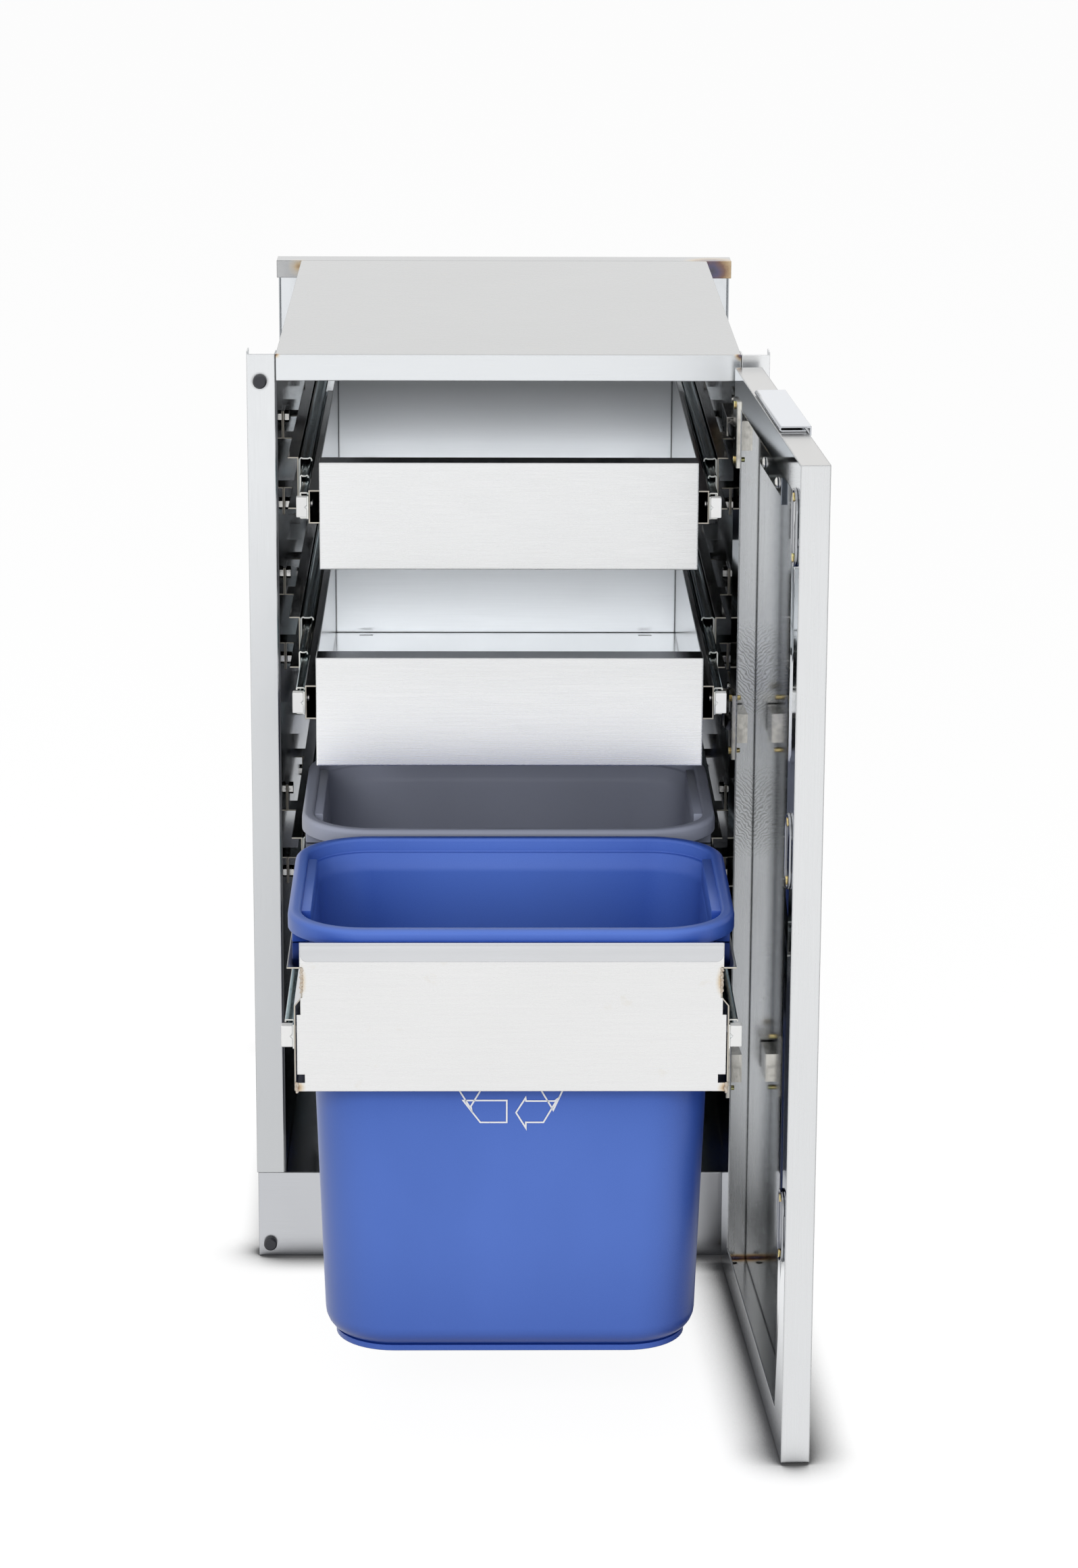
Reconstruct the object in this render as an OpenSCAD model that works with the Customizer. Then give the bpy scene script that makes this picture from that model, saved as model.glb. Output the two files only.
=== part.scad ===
// Stainless steel trash bin cabinet: a floor cabinet with two drawers on ball-bearing
// slides, a pull-out carrier with two tandem bins, and a hollow pan door on the right.
// Millimetres, +Z up. The origin lies on the floor, at the middle of the toe-kick's
// front edge; +X runs to the right and +Y to the rear. Doors and drawers stand open.

/* [Case] */
// Width over the face frame
case_w = 457.2; // [420:1:620]
// Height of the top panel above the floor
case_h = 838; // [810:1:900]
// Depth from the face frame to the back of the rear rail
case_d = 609.6; // [600:1:680]
// Thickness of the steel sheet
sheet = 1.2; // [0.8:0.1:1.6]
// Width of each face frame stile
stile_w = 25.4; // [20:0.5:32]
// Depth of the stile's two return flanges
stile_return = 22; // [14:1:30]
// Rise of the outer return flange above the stile
flange_rise = 2.2; // [1:0.2:4]
// Height of the toe-kick
toe_h = 81; // [70:1:95]
// Depth of the toe-kick's foot flange and top flange
toe_return = 25.4; // [20:0.5:32]
// Height of the top panel's front lip
lip_h = 23.5; // [18:0.5:28]
// Depth of the flange under the front lip
lip_return = 12; // [8:1:16]
// Depth of the rear rail behind the top panel
rear_rail_d = 29.6; // [24:0.1:40]
// Distance of the rear frame's ends from the case's sides
rear_inset = 0.6; // [0:0.1:4]
// Height of the rear rail
rear_rail_h = 17.5; // [14:0.5:24]
// Depth of the rear panel's side flanges
rear_flange = 13; // [8:1:20]
// Radius of the door bumpers
bumper_r = 6; // [4:0.5:8]
// Distance of the bumpers from the case's side
bumper_side = 11.6; // [10:0.2:14]
// Distance of the upper bumper below the case's top
bumper_drop = 24; // [16:1:40]
// Height of the lower bumper
bumper_low_z = 12.5; // [10:0.5:20]

/* [Rails] */
// Distance of the upper rails' middle below the case's top
rail_drop = 116; // [98:1:124]
// Distance from the upper rails down to the middle ones
drawer_pitch = 144; // [136:1:160]
// Distance from the middle rails down to the lower ones
carrier_pitch = 203.5; // [190:0.5:210]
// Height of a rail's section
rail_h = 46.5; // [44:0.5:52]
// Distance of the rail's web from the side wall
rail_depth = 17.6; // [16:0.1:22]
// Width of the rail's narrow flanges
rail_flange = 9.6; // [6:0.2:13]
// Setback of the rail's front end
rail_front = 9; // [6:1:14]
// Length of a rail
rail_len = 556; // [540:1:570]
// Width of a fixing tab along the rail
tab_w = 32; // [24:1:40]
// Height of a fixing tab
tab_h = 24; // [20:1:28]
// Distance of the first tab behind the face frame
tab_front = 104; // [95:1:130]
// Distance between the first and the last tab
tab_pitch = 368; // [300:2:400]
// Radius of a rail bolt's shank
bolt_r = 3; // [2.5:0.25:4]
// Width of a bolt's hexagon across its corners
bolt_hex = 11.5; // [10:0.5:13]
// Thickness of a bolt's head
bolt_head = 4; // [3:0.5:5]

/* [Slides] */
// Length of a slide's cabinet member
slide_len = 508; // [480:1:516]
// Total thickness of a slide
slide_t = 12.7; // [12.2:0.1:14]
// Height of the cabinet member
slide_h = 42; // [40:0.5:44]
// Height of the middle member
mid_h = 32; // [31:0.5:33]
// Height of the drawer member
inner_h = 23; // [22:0.5:24]
// Setback of the slide's front end
slide_front = 20.5; // [20:0.5:24]
// Size of the plastic end block along the slide
block_len = 9.5; // [6:0.5:10]
// Height of the plastic end block
block_h = 17.4; // [14:0.2:19]

/* [Drawers] */
// Width of the channel between a drawer's side and its slide
channel_w = 9.4; // [8:0.2:14]
// Height of a drawer front
front_h = 93; // [80:1:105]
// Distance of the front's lower edge below the rail's centre
front_drop = 53.5; // [48:0.5:56]
// Depth of the front's top return
front_return = 26.5; // [12:0.5:28]
// Depth of the front's side and bottom returns
front_side = 12; // [8:1:16]
// How far a slide reaches past the drawer's rear end
drawer_short = 12.5; // [4:0.5:20]
// Distance of the inset drawer back from the rear end
back_inset = 18; // [10:1:30]
// Height of the channel that carries the drawer on its slide
channel_h = 29; // [26:0.5:34]
// Setback of a closed front behind the face frame
front_gap = 8; // [7.5:0.5:9]
// How far the upper drawer stands out
upper_pull = 104; // [0:1:480]
// How far the lower drawer stands out
lower_pull = 219; // [0:1:480]

/* [Bin carrier] */
// Distance of the carrier front's edges from the slides
carrier_inset = 2.2; // [1.4:0.1:4]
// Height of the carrier's top hem above the slide's centre
carrier_above = 78; // [74:0.5:82]
// Distance of the carrier front's lower edge below the slide's centre
carrier_below = 44.5; // [40:0.5:48]
// Distance from the hem's lower edge down to the seat flanges
hem_rise = 2; // [1:0.5:5]
// Height of the flanges that the bins hang on, above the slide's centre
seat_above = 58; // [54:0.5:62]
// Distance of the side plates' upper parts from the slides
neck_inset = 6.7; // [4:0.1:12]
// Width of the flange that carries a bin
seat_w = 12; // [9:0.5:14]
// Height of the upper, straight part of a side plate
neck_h = 25; // [18:1:30]
// Height of the slanted jog in a side plate
jog_h = 7; // [5:0.5:12]
// How far the carrier stands out
carrier_pull = 493; // [0:1:495]

/* [Bins] */
// Overhang of a bin's rim past the inside of the side plates
bin_over = 13.5; // [12:0.1:14]
// Space between a bin's body and the side plates
bin_play = 2.9; // [1:0.1:5]
// Depth of a bin over its rim
bin_d = 278; // [262:1:280]
// Space between the floor pan and a bin
bin_lift = 12.1; // [8:0.1:40]
// Height of the rolled rim
rim_h = 14; // [10:0.5:18]
// Width of the rim's top
rim_w = 10.8; // [8:0.2:12.8]
// Height of the ribs under the rim that rest on the carrier
rib_h = 15.2; // [10:0.1:20]
// Length of these ribs
rib_len = 150; // [100:2:180]
// Radius of the rim's corners
rim_r = 62; // [50:1:70]
// Wall thickness of a bin
bin_wall = 2.6; // [2:0.1:4]
// How much narrower each side of the body is at its foot
bin_taper = 10.3; // [8:0.1:20]
// Radius of the body's lower edge
bin_round = 20; // [12:1:26]
// Step inwards to the foot ring
foot_step = 11.3; // [6:0.1:14]
// Height of the foot ring
foot_h = 3; // [2:0.5:14]
// Radius of the body's corners above its lower edge
bin_low_r = 57; // [50:1:60]
// Height of the flare between the body and the rim
flare_h = 14; // [6:0.5:15]
// Space between the two bins
bin_gap = 14; // [6:1:20]
// Space between the carrier front and the blue bin
bin_front = 4; // [3.5:0.5:8]

/* [Door] */
// Distance of the door's edges from the case's sides
door_inset = 0.6; // [0:0.1:4]
// Height of the door's lower edge
door_z0 = 3; // [2:0.5:6]
// Distance of the door's upper edge below the case's top
door_drop = 8; // [4:0.5:16]
// Thickness of the hollow door
door_t = 23.5; // [20:0.5:28]
// Space between the closed door and the face frame
door_gap = 6; // [4:0.5:8]
// Angle at which the door stands open
door_angle = 93; // [85:1:110]
// Width of the flanges along the door's sides
door_flange = 48; // [44:1:56]
// Width of the flanges along the door's top and bottom
door_band = 29; // [22:1:34]
// Length of the pull handle
handle_len = 172; // [120:2:240]
// Overhang of the handle beyond the outer face
handle_over = 3; // [2.5:0.5:12]
// Distance of the handle's fold from the inner face
handle_inset = 0.5; // [0:0.5:8]
// Space between the two leaves of the handle
handle_space = 1.6; // [1:0.2:3]
// Drop of the handle's outer lip
handle_lip = 8; // [5:0.5:12]
// Length of the bracket behind the handle
bracket_len = 181; // [130:1:230]
// Drop of the bracket below the top wall
bracket_drop = 57; // [54:1:70]
// Distance of the bracket's screws below the door's upper edge
bracket_screw_drop = 51; // [46:1:52]

/* [Hinges] */
// Distance of the hinge axis from the case's side
axis_side = 10.1; // [8:0.1:14]
// Distance of the hinge axis in front of the face frame
axis_front = 27; // [24:0.5:30]
// Distance of the top hinge below the case's top
hinge_drop = 61; // [54:1:66]
// Distance from the top hinge down to the middle one
hinge_pitch = 261; // [259:1:290]
// Height of the bottom hinge above the door's lower edge
hinge_low = 198; // [170:1:220]
// Distance of a cup's centre from the door's edge
cup_inset = 22.5; // [21:0.5:24]
// Width of a cup along the door
cup_w = 35; // [30:0.5:36]
// Height of a cup
cup_h = 26; // [22:0.5:30]
// Depth of a cup
cup_depth = 11.5; // [10:0.5:13]
// Distance of each cup screw from the cup's centre
cup_screw = 24; // [20:0.5:26]
// Height of a hinge wing
wing_h = 58; // [56:1:64]
// Radius of a cup screw
screw_r = 2.2; // [1.5:0.1:3]
// Thickness of the hinge's curved link
link_t = 3.6; // [2.4:0.2:5]
// Height of the hinge's curved link
link_h = 12; // [8:0.5:16]

/* [Hidden] */
$fn = 48;

// Clearance between pieces that move past each other, and of a screw in its hole
clear = 0.3;
// Clearance between fixed pieces that aren't quite flush
seam = 0.2;
half_w = case_w / 2;
open_x = half_w - stile_w;
wall_x = open_x - sheet;
web_x = wall_x - rail_depth;
slide_x = web_x - slide_t;
rear_y = case_d - 2 * sheet;
top_d = case_d - rear_rail_d;
rear_w = case_w - 2 * rear_inset;
bumper_top_z = case_h - bumper_drop;
upper_rail_z = case_h - rail_drop;
middle_rail_z = upper_rail_z - drawer_pitch;
lower_rail_z = middle_rail_z - carrier_pitch;
rail_levels = [upper_rail_z, middle_rail_z, lower_rail_z];
tab_ys = [tab_front, tab_front + tab_pitch];
bolt_rise = rail_h / 2 + tab_h * 0.7;
// Slide sections, measured from the drawer side towards the rail
outer_lip = 0.9;
mid_web = 8.7;
mid_lip = 1.9;
inner_lip = 7.8;
hook = 3.4;
ball_play = 0.2;
ball_d = slide_h / 2 - sheet - mid_h / 2 - ball_play;
small_ball_d = mid_h / 2 - sheet - inner_h / 2 - ball_play;
cage_len = 64;
cage_count = 5;
cage_bar = 1;
outer_cage_y = slide_front + slide_len - cage_len - 60;
inner_cage_y = slide_front + 30;
block_w = 9.3;
notch = 3;
screw_ys = [slide_front + 12, slide_front + slide_len / 2, slide_front + slide_len - 40];
screw_head_r = 3.6;
screw_head_t = 1.8;
// Drawers
drawer_x = slide_x - channel_w;
drawer_len = slide_front + slide_len - drawer_short - front_gap;
tray_z = sheet;
slot_len = 12;
slot_w = 3;
slot_side = 24;
slot_rear = 28;
// Carrier
side_x = slide_x;
plate_x = side_x - carrier_inset;
neck_x = side_x - neck_inset;
carrier_len = bin_front + 2 * bin_d + bin_gap + bin_front;
// Length of the foot flange on a side plate
side_foot = 10;
notch_w = 6;
notch_h = 7;
// Bins
seat_z = lower_rail_z + seat_above;
rim_z = seat_z + rib_h;
bin_top = rim_z + rim_h;
bin_base = toe_h + bin_lift;
bin_w = 2 * (neck_x + bin_over);
shoulder = bin_over + bin_play - rim_w;
body_w = bin_w - 2 * (rim_w + shoulder);
body_d = bin_d - 2 * (rim_w + shoulder);
body_r = rim_r - rim_w - shoulder;
layer_t = 0.2;
rib_in = 2;
rib_x0 = body_w / 2 - rib_in;
rib_x1 = bin_w / 2 - 3;
// Door, drawn closed and then turned on its axis
axis = [half_w - axis_side, -axis_front];
door_x1 = half_w - door_inset;
door_z1 = case_h - door_drop;
door_in = -door_gap;
door_out = -door_gap - door_t;
cup_x = door_x1 - cup_inset;
hinge_top_z = case_h - hinge_drop;
hinge_zs = [hinge_top_z, hinge_top_z - hinge_pitch, door_z0 + hinge_low];
// The link's arc passes outside the door's inner corner
link_spare = 0.2;
corner_r = norm([door_x1 - axis[0], door_in - axis[1]]);
link_r = corner_r + clear + link_spare + link_t / 2;
cup_turn = 180 - asin((door_in - axis[1]) / link_r);
link_start = 150;
link_end = cup_turn + door_angle + 20;
// Turn that the cup's slot leaves behind the link's tip
slot_spare = 8;
wing_t = 2;
wing_w = 28;
arm_t = 9;
arm_h = 17;
arm_rear = 58;
plate_t = 2.5;
plate_h = 44;
plate_len = 52;
plate_y = 16;
plate_screw_y = 36;
plate_screw_z = 16;
drain_r = 3;
drain_in = 13.4;
drain_off = 10.5;
cover_w = 30;
cover_h = 62;
cover_t = 1;
cover_rim = 1.2;
bracket_off = 6.5;
bracket_back = 2.6;
bracket_screw_pitch = 88;
bracket_screw_z = door_z1 - bracket_screw_drop;
bracket_screw_shift = 10;
bracket_screw_xs = [for (s = [-1, 1]) bracket_screw_shift + s * bracket_screw_pitch / 2];

// A box from its lowest to its highest corner
module slab(x0, x1, y0, y1, z0, z1) {
    translate([x0, y0, z0]) cube([x1 - x0, y1 - y0, z1 - z0]);
}

// The same shape on the left and on the right
module both_sides() {
    children();
    mirror([1, 0, 0]) children();
}

// A cylinder along X that starts at x0
module bar_x(x0, x1, y, z, r, fn = 48) {
    translate([x0, y, z]) rotate([0, 90, 0]) cylinder(h = x1 - x0, r = r, $fn = fn);
}

// A cylinder along Y that starts at y0
module bar_y(x, y0, y1, z, r) {
    translate([x, y0, z]) rotate([-90, 0, 0]) cylinder(h = y1 - y0, r = r);
}

// Case

module top_panel() color("gainsboro") {
    slab(-open_x, open_x, 0, top_d, case_h - sheet, case_h);
    slab(-open_x, open_x, 0, sheet, case_h - lip_h, case_h);
    slab(-wall_x, wall_x, 0, lip_return, case_h - lip_h, case_h - lip_h + sheet);
}

module bolt_holes() {
    for (z = rail_levels, y = tab_ys, side = [-1, 1])
        bar_x(wall_x - 2 * sheet, open_x + sheet, y + tab_w / 2, z + side * bolt_rise, bolt_r + seam);
}

module side_wall() color("silver") difference() {
    union() {
        slab(wall_x, open_x, sheet, rear_y, 0, case_h - rear_rail_h);
        slab(wall_x, open_x, sheet, top_d, 0, case_h - sheet);
        slab(wall_x, half_w - sheet, toe_return, rear_y - rear_flange, 0, sheet);
    }
    bolt_holes();
    for (z = hinge_zs, side = [-1, 1])
        bar_x(wall_x - sheet, open_x + sheet, plate_screw_y, z + side * plate_screw_z, screw_r + seam);
}

module floor_pan() color("dimgray")
    slab(-wall_x, wall_x, sheet, rear_y, toe_h - sheet, toe_h);

module toe_kick() color("silver") {
    edge = half_w - 1;
    slab(-edge, edge, 0, sheet, 0, toe_h);
    slab(-wall_x, wall_x, 0, toe_return, 0, sheet);
    slab(-wall_x, wall_x, 0, toe_return, toe_h - 2 * sheet, toe_h - sheet);
    both_sides() slab(edge - sheet, edge, 0, stile_return, 0, toe_h);
}

module stile() color("whitesmoke") {
    groove = sheet * 0.6;
    slab(open_x + groove, half_w, 0, sheet, toe_h, case_h);
    slab(open_x, open_x + sheet, groove, stile_return, toe_h, case_h);
    slab(half_w - sheet, half_w, 0, stile_return, toe_h, case_h + flange_rise);
}

module rear_panel() color("lightsteelblue") {
    edge = rear_w / 2 - sheet;
    slab(-edge, edge, rear_y, rear_y + sheet, 0, case_h - sheet);
    both_sides()
        slab(edge - sheet, edge, rear_y - rear_flange, rear_y + sheet, 0, case_h - rear_rail_h);
}

module rear_rail() color("silver") {
    edge = rear_w / 2;
    slab(-edge, edge, top_d, case_d, case_h - sheet, case_h);
    slab(-edge, edge, top_d, top_d + sheet, case_h - rear_rail_h, case_h);
    slab(-edge, edge, case_d - sheet, case_d, case_h - rear_rail_h, case_h);
}

module bumper(z) {
    x = half_w - bumper_side;
    dome = 1.2;
    translate([-x, -door_gap + clear, z]) rotate([-90, 0, 0]) {
        translate([0, 0, dome]) cylinder(h = door_gap - clear - dome, r = bumper_r);
        cylinder(h = dome, r1 = bumper_r - dome, r2 = bumper_r);
    }
}

module door_bumpers() color("black") {
    bumper(bumper_top_z);
    bumper(bumper_low_z);
}

// Rails

// A rail on the right wall: a web with two narrow flanges, and tabs bolted to the wall
module rail(z) color("silver") difference() {
    union() {
        slab(web_x, web_x + sheet, rail_front, rail_front + rail_len, z - rail_h / 2, z + rail_h / 2);
        for (side = [0, 1]) mirror_z(z, side) {
            slab(web_x, web_x + rail_flange, rail_front, rail_front + rail_len,
                z + rail_h / 2 - sheet, z + rail_h / 2);
            for (y = tab_ys) {
                slab(web_x, wall_x, y, y + tab_w, z + rail_h / 2 - sheet, z + rail_h / 2);
                slab(wall_x - sheet, wall_x, y, y + tab_w, z + rail_h / 2 - sheet,
                    z + rail_h / 2 + tab_h);
            }
        }
    }
    bolt_holes();
}

// Turns a shape upside down about the height z when side is 1
module mirror_z(z, side) {
    translate([0, 0, z]) mirror([0, 0, side]) translate([0, 0, -z]) children();
}

module rail_bolt(y, z) {
    head_x = wall_x - sheet;
    bar_x(head_x - bolt_head, head_x, y, z, bolt_hex / 2, 6);
    bar_x(head_x - seam, open_x + 5, y, z, bolt_r);
}

module rail_bolts() color("lightgray")
    both_sides() for (z = rail_levels, y = tab_ys, side = [-1, 1])
        rail_bolt(y + tab_w / 2, z + side * bolt_rise);

// Slides, drawn closed on the right side

// The fixed member: a C with hooked lips, its web on the rail
module cabinet_member(z) color("lightsteelblue") {
    y1 = slide_front + slide_len;
    top = z + slide_h / 2;
    slab(web_x - sheet, web_x, slide_front, y1, z - slide_h / 2, top);
    for (side = [0, 1]) mirror_z(z, side) {
        slab(slide_x + outer_lip, web_x, slide_front, y1, top - sheet, top);
        slab(slide_x + outer_lip, slide_x + outer_lip + sheet, slide_front, y1, top - hook, top);
    }
}

module mid_member(z) color("slategray") {
    x1 = slide_x + mid_web + sheet;
    y1 = slide_front + slide_len - 4;
    top = z + mid_h / 2;
    slab(x1 - sheet, x1, slide_front, y1, z - mid_h / 2, top);
    for (side = [0, 1]) mirror_z(z, side)
        slab(slide_x + mid_lip, x1, slide_front, y1, top - sheet, top);
}

module drawer_member(z) color("gainsboro") difference() {
    y0 = slide_front - block_len;
    y1 = slide_front + slide_len;
    top = z + inner_h / 2;
    union() {
        slab(slide_x, slide_x + sheet, y0, y1, z - inner_h / 2, top);
        for (side = [0, 1]) mirror_z(z, side)
            slab(slide_x, slide_x + inner_lip, slide_front, y1, top - sheet, top);
    }
    for (y = screw_ys) bar_x(slide_x - sheet, slide_x + 2 * sheet, y, z, screw_r + seam);
}

// The plastic block at the front end of a drawer member, with its small notch
module end_block(z) color("white") difference() {
    y0 = slide_front - block_len;
    slab(slide_x + sheet, slide_x + sheet + block_w, y0, slide_front - clear, z - block_h / 2,
        z + block_h / 2);
    translate([slide_x + sheet, y0 - sheet, z]) rotate([0, 45, 0])
        translate([-notch / 2, 0, -notch / 2]) cube([notch, notch, notch]);
}

// A row of balls held by a thin strip
module ball_row(x, y0, z, d) {
    pitch = cage_len / cage_count;
    slab(x - cage_bar, x + cage_bar, y0, y0 + cage_len, z - cage_bar / 2, z + cage_bar / 2);
    for (i = [0:cage_count - 1])
        translate([x, y0 + (i + 0.5) * pitch, z]) sphere(d = d, $fn = 24);
}

module ball_cages(z) color("darkseagreen") for (side = [0, 1]) mirror_z(z, side) {
    outer_x = slide_x + (outer_lip + sheet + mid_web) / 2 + sheet;
    inner_x = slide_x + (mid_lip + inner_lip) / 2;
    ball_row(outer_x, outer_cage_y, z + (slide_h / 2 - sheet + mid_h / 2) / 2, ball_d);
    ball_row(inner_x, inner_cage_y, z + (mid_h / 2 - sheet + inner_h / 2) / 2, small_ball_d);
}

// A screw that fastens what the slide carries to its drawer member
module member_screw(z, y, web) {
    bar_x(slide_x - web - screw_head_t, slide_x - web, y, z, screw_head_r);
    bar_x(slide_x - web - seam, slide_x + sheet, y, z, screw_r);
}

module pulled(out) {
    translate([0, -out - front_gap, 0]) children();
}

module half_pulled(out) {
    translate([0, (-out - front_gap) / 2, 0]) children();
}

// Drawers, drawn closed

module drawer_front(z) color("whitesmoke") {
    z0 = z - front_drop;
    z1 = z0 + front_h;
    y0 = front_gap;
    lip = 8;
    slab(-drawer_x, drawer_x, y0, y0 + sheet, z0, z1);
    slab(-drawer_x, drawer_x, y0, y0 + front_return, z1 - sheet, z1);
    slab(-drawer_x + sheet, drawer_x - sheet, y0 + front_return - sheet, y0 + front_return,
        z1 - lip, z1);
    slab(-drawer_x, drawer_x, y0, y0 + front_side, z0, z0 + sheet);
    both_sides() slab(drawer_x - sheet, drawer_x, y0, y0 + front_side, z0, z1);
}

module drawer_tray(z) color("silver") difference() {
    floor_z = z - front_drop + sheet;
    side_z = z - front_drop + front_h - sheet;
    y1 = front_gap + drawer_len;
    union() {
        slab(-drawer_x + sheet, drawer_x - sheet, front_gap + sheet, y1, floor_z, floor_z + tray_z);
        both_sides()
            slab(drawer_x - sheet, drawer_x, front_gap + front_side, y1, floor_z, side_z);
    }
    both_sides() slab(drawer_x - slot_side - slot_len, drawer_x - slot_side,
        y1 - slot_rear - slot_w, y1 - slot_rear, floor_z - sheet, floor_z + 2 * tray_z);
}

// The inset back, with returns that run back along the sides
module drawer_back(z) color("silver") {
    floor_z = z - front_drop + sheet + tray_z;
    side_z = z - front_drop + front_h - sheet;
    y1 = front_gap + drawer_len;
    edge = drawer_x - sheet;
    slab(-edge, edge, y1 - back_inset, y1 - back_inset + sheet, floor_z, side_z);
    both_sides() slab(edge - sheet, edge, y1 - back_inset, y1, floor_z, side_z);
}

// The channels between the tray's sides and the slides
module drawer_channels(z) color("dimgray") both_sides() difference() {
    y0 = front_gap + 6;
    y1 = front_gap + drawer_len;
    union() {
        slab(slide_x - sheet, slide_x, y0, y1, z - channel_h / 2, z + channel_h / 2);
        for (side = [0, 1]) mirror_z(z, side)
            slab(drawer_x, slide_x, y0, y1, z + channel_h / 2 - sheet, z + channel_h / 2);
    }
    for (y = screw_ys) bar_x(slide_x - 2 * sheet, slide_x + sheet, y, z, screw_r + seam);
}

module member_screws(z) color("gray")
    both_sides() for (y = screw_ys) member_screw(z, y, sheet);

// Bin carrier, drawn closed

module carrier_front() color("whitesmoke") difference() {
    z0 = lower_rail_z - carrier_below;
    z1 = lower_rail_z + carrier_above;
    jog_z = seat_z - neck_h;
    y0 = front_gap;
    hem_t = 3;
    hem_z = seat_z + hem_rise;
    union() {
        slab(-plate_x, plate_x, y0, y0 + sheet, z0, jog_z);
        slab(-neck_x, neck_x, y0, y0 + sheet, z0, z1);
        slab(-neck_x - 2, neck_x + 2, y0, y0 + sheet, seat_z + clear, z1);
        translate([0, y0 + hem_t / 2, z1 - hem_t / 2]) rotate([0, 90, 0])
            cylinder(h = 2 * neck_x + 4, r = hem_t / 2, center = true);
        slab(-neck_x - 2, neck_x + 2, y0 + hem_t - sheet, y0 + hem_t, hem_z, z1 - hem_t / 2);
        slab(-neck_x - 2, neck_x + 2, y0, y0 + hem_t, hem_z, hem_z + sheet);
    }
    both_sides() {
        slab(plate_x - notch_w / 2, plate_x + notch_w, y0 - sheet, y0 + 2 * sheet,
            jog_z - jog_h - notch_h, jog_z + seam);
        slab(plate_x - notch_w, plate_x + notch_w, y0 - sheet, y0 + 2 * sheet,
            z0 + notch_h, z0 + 2 * notch_h);
    }
}

// A side plate's section on the right: seat flange, neck, jog, long lower part and foot
module side_section() {
    z0 = lower_rail_z - carrier_below;
    jog_z = seat_z - neck_h;
    low_z = jog_z - jog_h;
    in_x = side_x - sheet;
    polygon([
        [neck_x, seat_z - sheet], [neck_x, jog_z], [in_x, low_z], [in_x, z0 + sheet],
        [in_x - side_foot, z0 + sheet], [in_x - side_foot, z0], [side_x, z0], [side_x, low_z],
        [neck_x + sheet, jog_z], [neck_x + sheet, seat_z - sheet],
        [neck_x + seat_w, seat_z - sheet], [neck_x + seat_w, seat_z], [neck_x, seat_z],
    ]);
}

module carrier_side() color("silver") difference() {
    translate([0, front_gap + carrier_len, 0]) rotate([90, 0, 0])
        linear_extrude(height = carrier_len - sheet) side_section();
    for (y = screw_ys) bar_x(side_x - 2 * sheet, side_x + sheet, y, lower_rail_z, screw_r + seam);
}

module carrier_back() color("silver") {
    y0 = front_gap + carrier_len - sheet;
    z0 = lower_rail_z - carrier_below + sheet;
    low_z = seat_z - neck_h - jog_h;
    slab(-side_x + sheet, side_x - sheet, y0, y0 + sheet, z0, low_z);
    slab(-neck_x, neck_x, y0, y0 + sheet, z0, seat_z);
}

// Bins, drawn closed

// A flat plate with round corners, w wide and d deep
module round_plate(w, d, r, h) {
    linear_extrude(height = h) round_rect(w, d, r);
}

module round_rect(w, d, r) {
    square([w - 2 * r, d], center = true);
    square([w, d - 2 * r], center = true);
    for (x = [-1, 1], y = [-1, 1]) translate([x * (w / 2 - r), y * (d / 2 - r)]) circle(r = r);
}

// A thin layer of the body at the height z, drawn in by the distance in
module body_layer(in, r, z) {
    translate([0, 0, z]) round_plate(body_w - 2 * in, body_d - 2 * in, r, layer_t);
}

// The tapered body with a rounded lower edge and a flare at the top, drawn in by the distance in
module bin_body(in, top) {
    hull() {
        body_layer(in, body_r - in, top - flare_h);
        for (a = [0:22.5:90]) {
            shrink = in + bin_round * (1 - cos(a));
            body_layer(bin_taper + shrink, bin_low_r - shrink,
                bin_base + foot_h + in + bin_round * (1 - sin(a)));
        }
    }
    hull() {
        body_layer(in, body_r - in, top - flare_h);
        body_layer(in - shoulder, body_r + shoulder - in, top - layer_t);
    }
}

// A plate with the rim's outline, drawn in by the distance in
module rim_plate(in, h) {
    round_plate(bin_w - 2 * in, bin_d - 2 * in, rim_r - in, h);
}

module bin(y) {
    foot_in = bin_taper + bin_round - foot_step;
    $fn = 32;
    translate([0, y, 0]) difference() {
        union() {
            bin_body(0, rim_z + bin_wall);
            translate([0, 0, bin_base])
                round_plate(body_w - 2 * foot_in, body_d - 2 * foot_in,
                    bin_low_r - bin_round + foot_step, foot_h + bin_wall);
            difference() {
                translate([0, 0, rim_z]) rim_plate(0, rim_h);
                translate([0, 0, rim_z - 1]) difference() {
                    rim_plate(bin_wall, rim_h + 1 - bin_wall);
                    translate([0, 0, -1]) rim_plate(rim_w - bin_wall, rim_h + 4);
                }
            }
            both_sides() slab(rib_x0, rib_x1, -rib_len / 2, rib_len / 2, seat_z + seam,
                rim_z + rim_h - bin_wall);
        }
        bin_body(bin_wall, rim_z + bin_wall + 1);
        translate([0, 0, rim_z + bin_wall]) rim_plate(rim_w, rim_h);
    }
}

first_bin_y = front_gap + bin_front + bin_d / 2;

// Door, drawn closed

module opened() {
    translate([axis[0], axis[1], 0]) rotate([0, 0, door_angle])
        translate([-axis[0], -axis[1], 0]) children();
}

// The cut-outs for a cup and its two screws, at side 1 for the hinges and -1 for the covers
module cup_cutouts(side) {
    for (z = hinge_zs) {
        slab(side * cup_x - cup_w / 2 - seam, side * cup_x + cup_w / 2 + seam, door_in - 2 * sheet,
            door_in + sheet, z - cup_h / 2 - seam, z + cup_h / 2 + seam);
        for (s = [-1, 1])
            bar_y(side * cup_x, door_in - 2 * sheet, door_in + sheet, z + s * cup_screw, screw_r + seam);
    }
}

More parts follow.
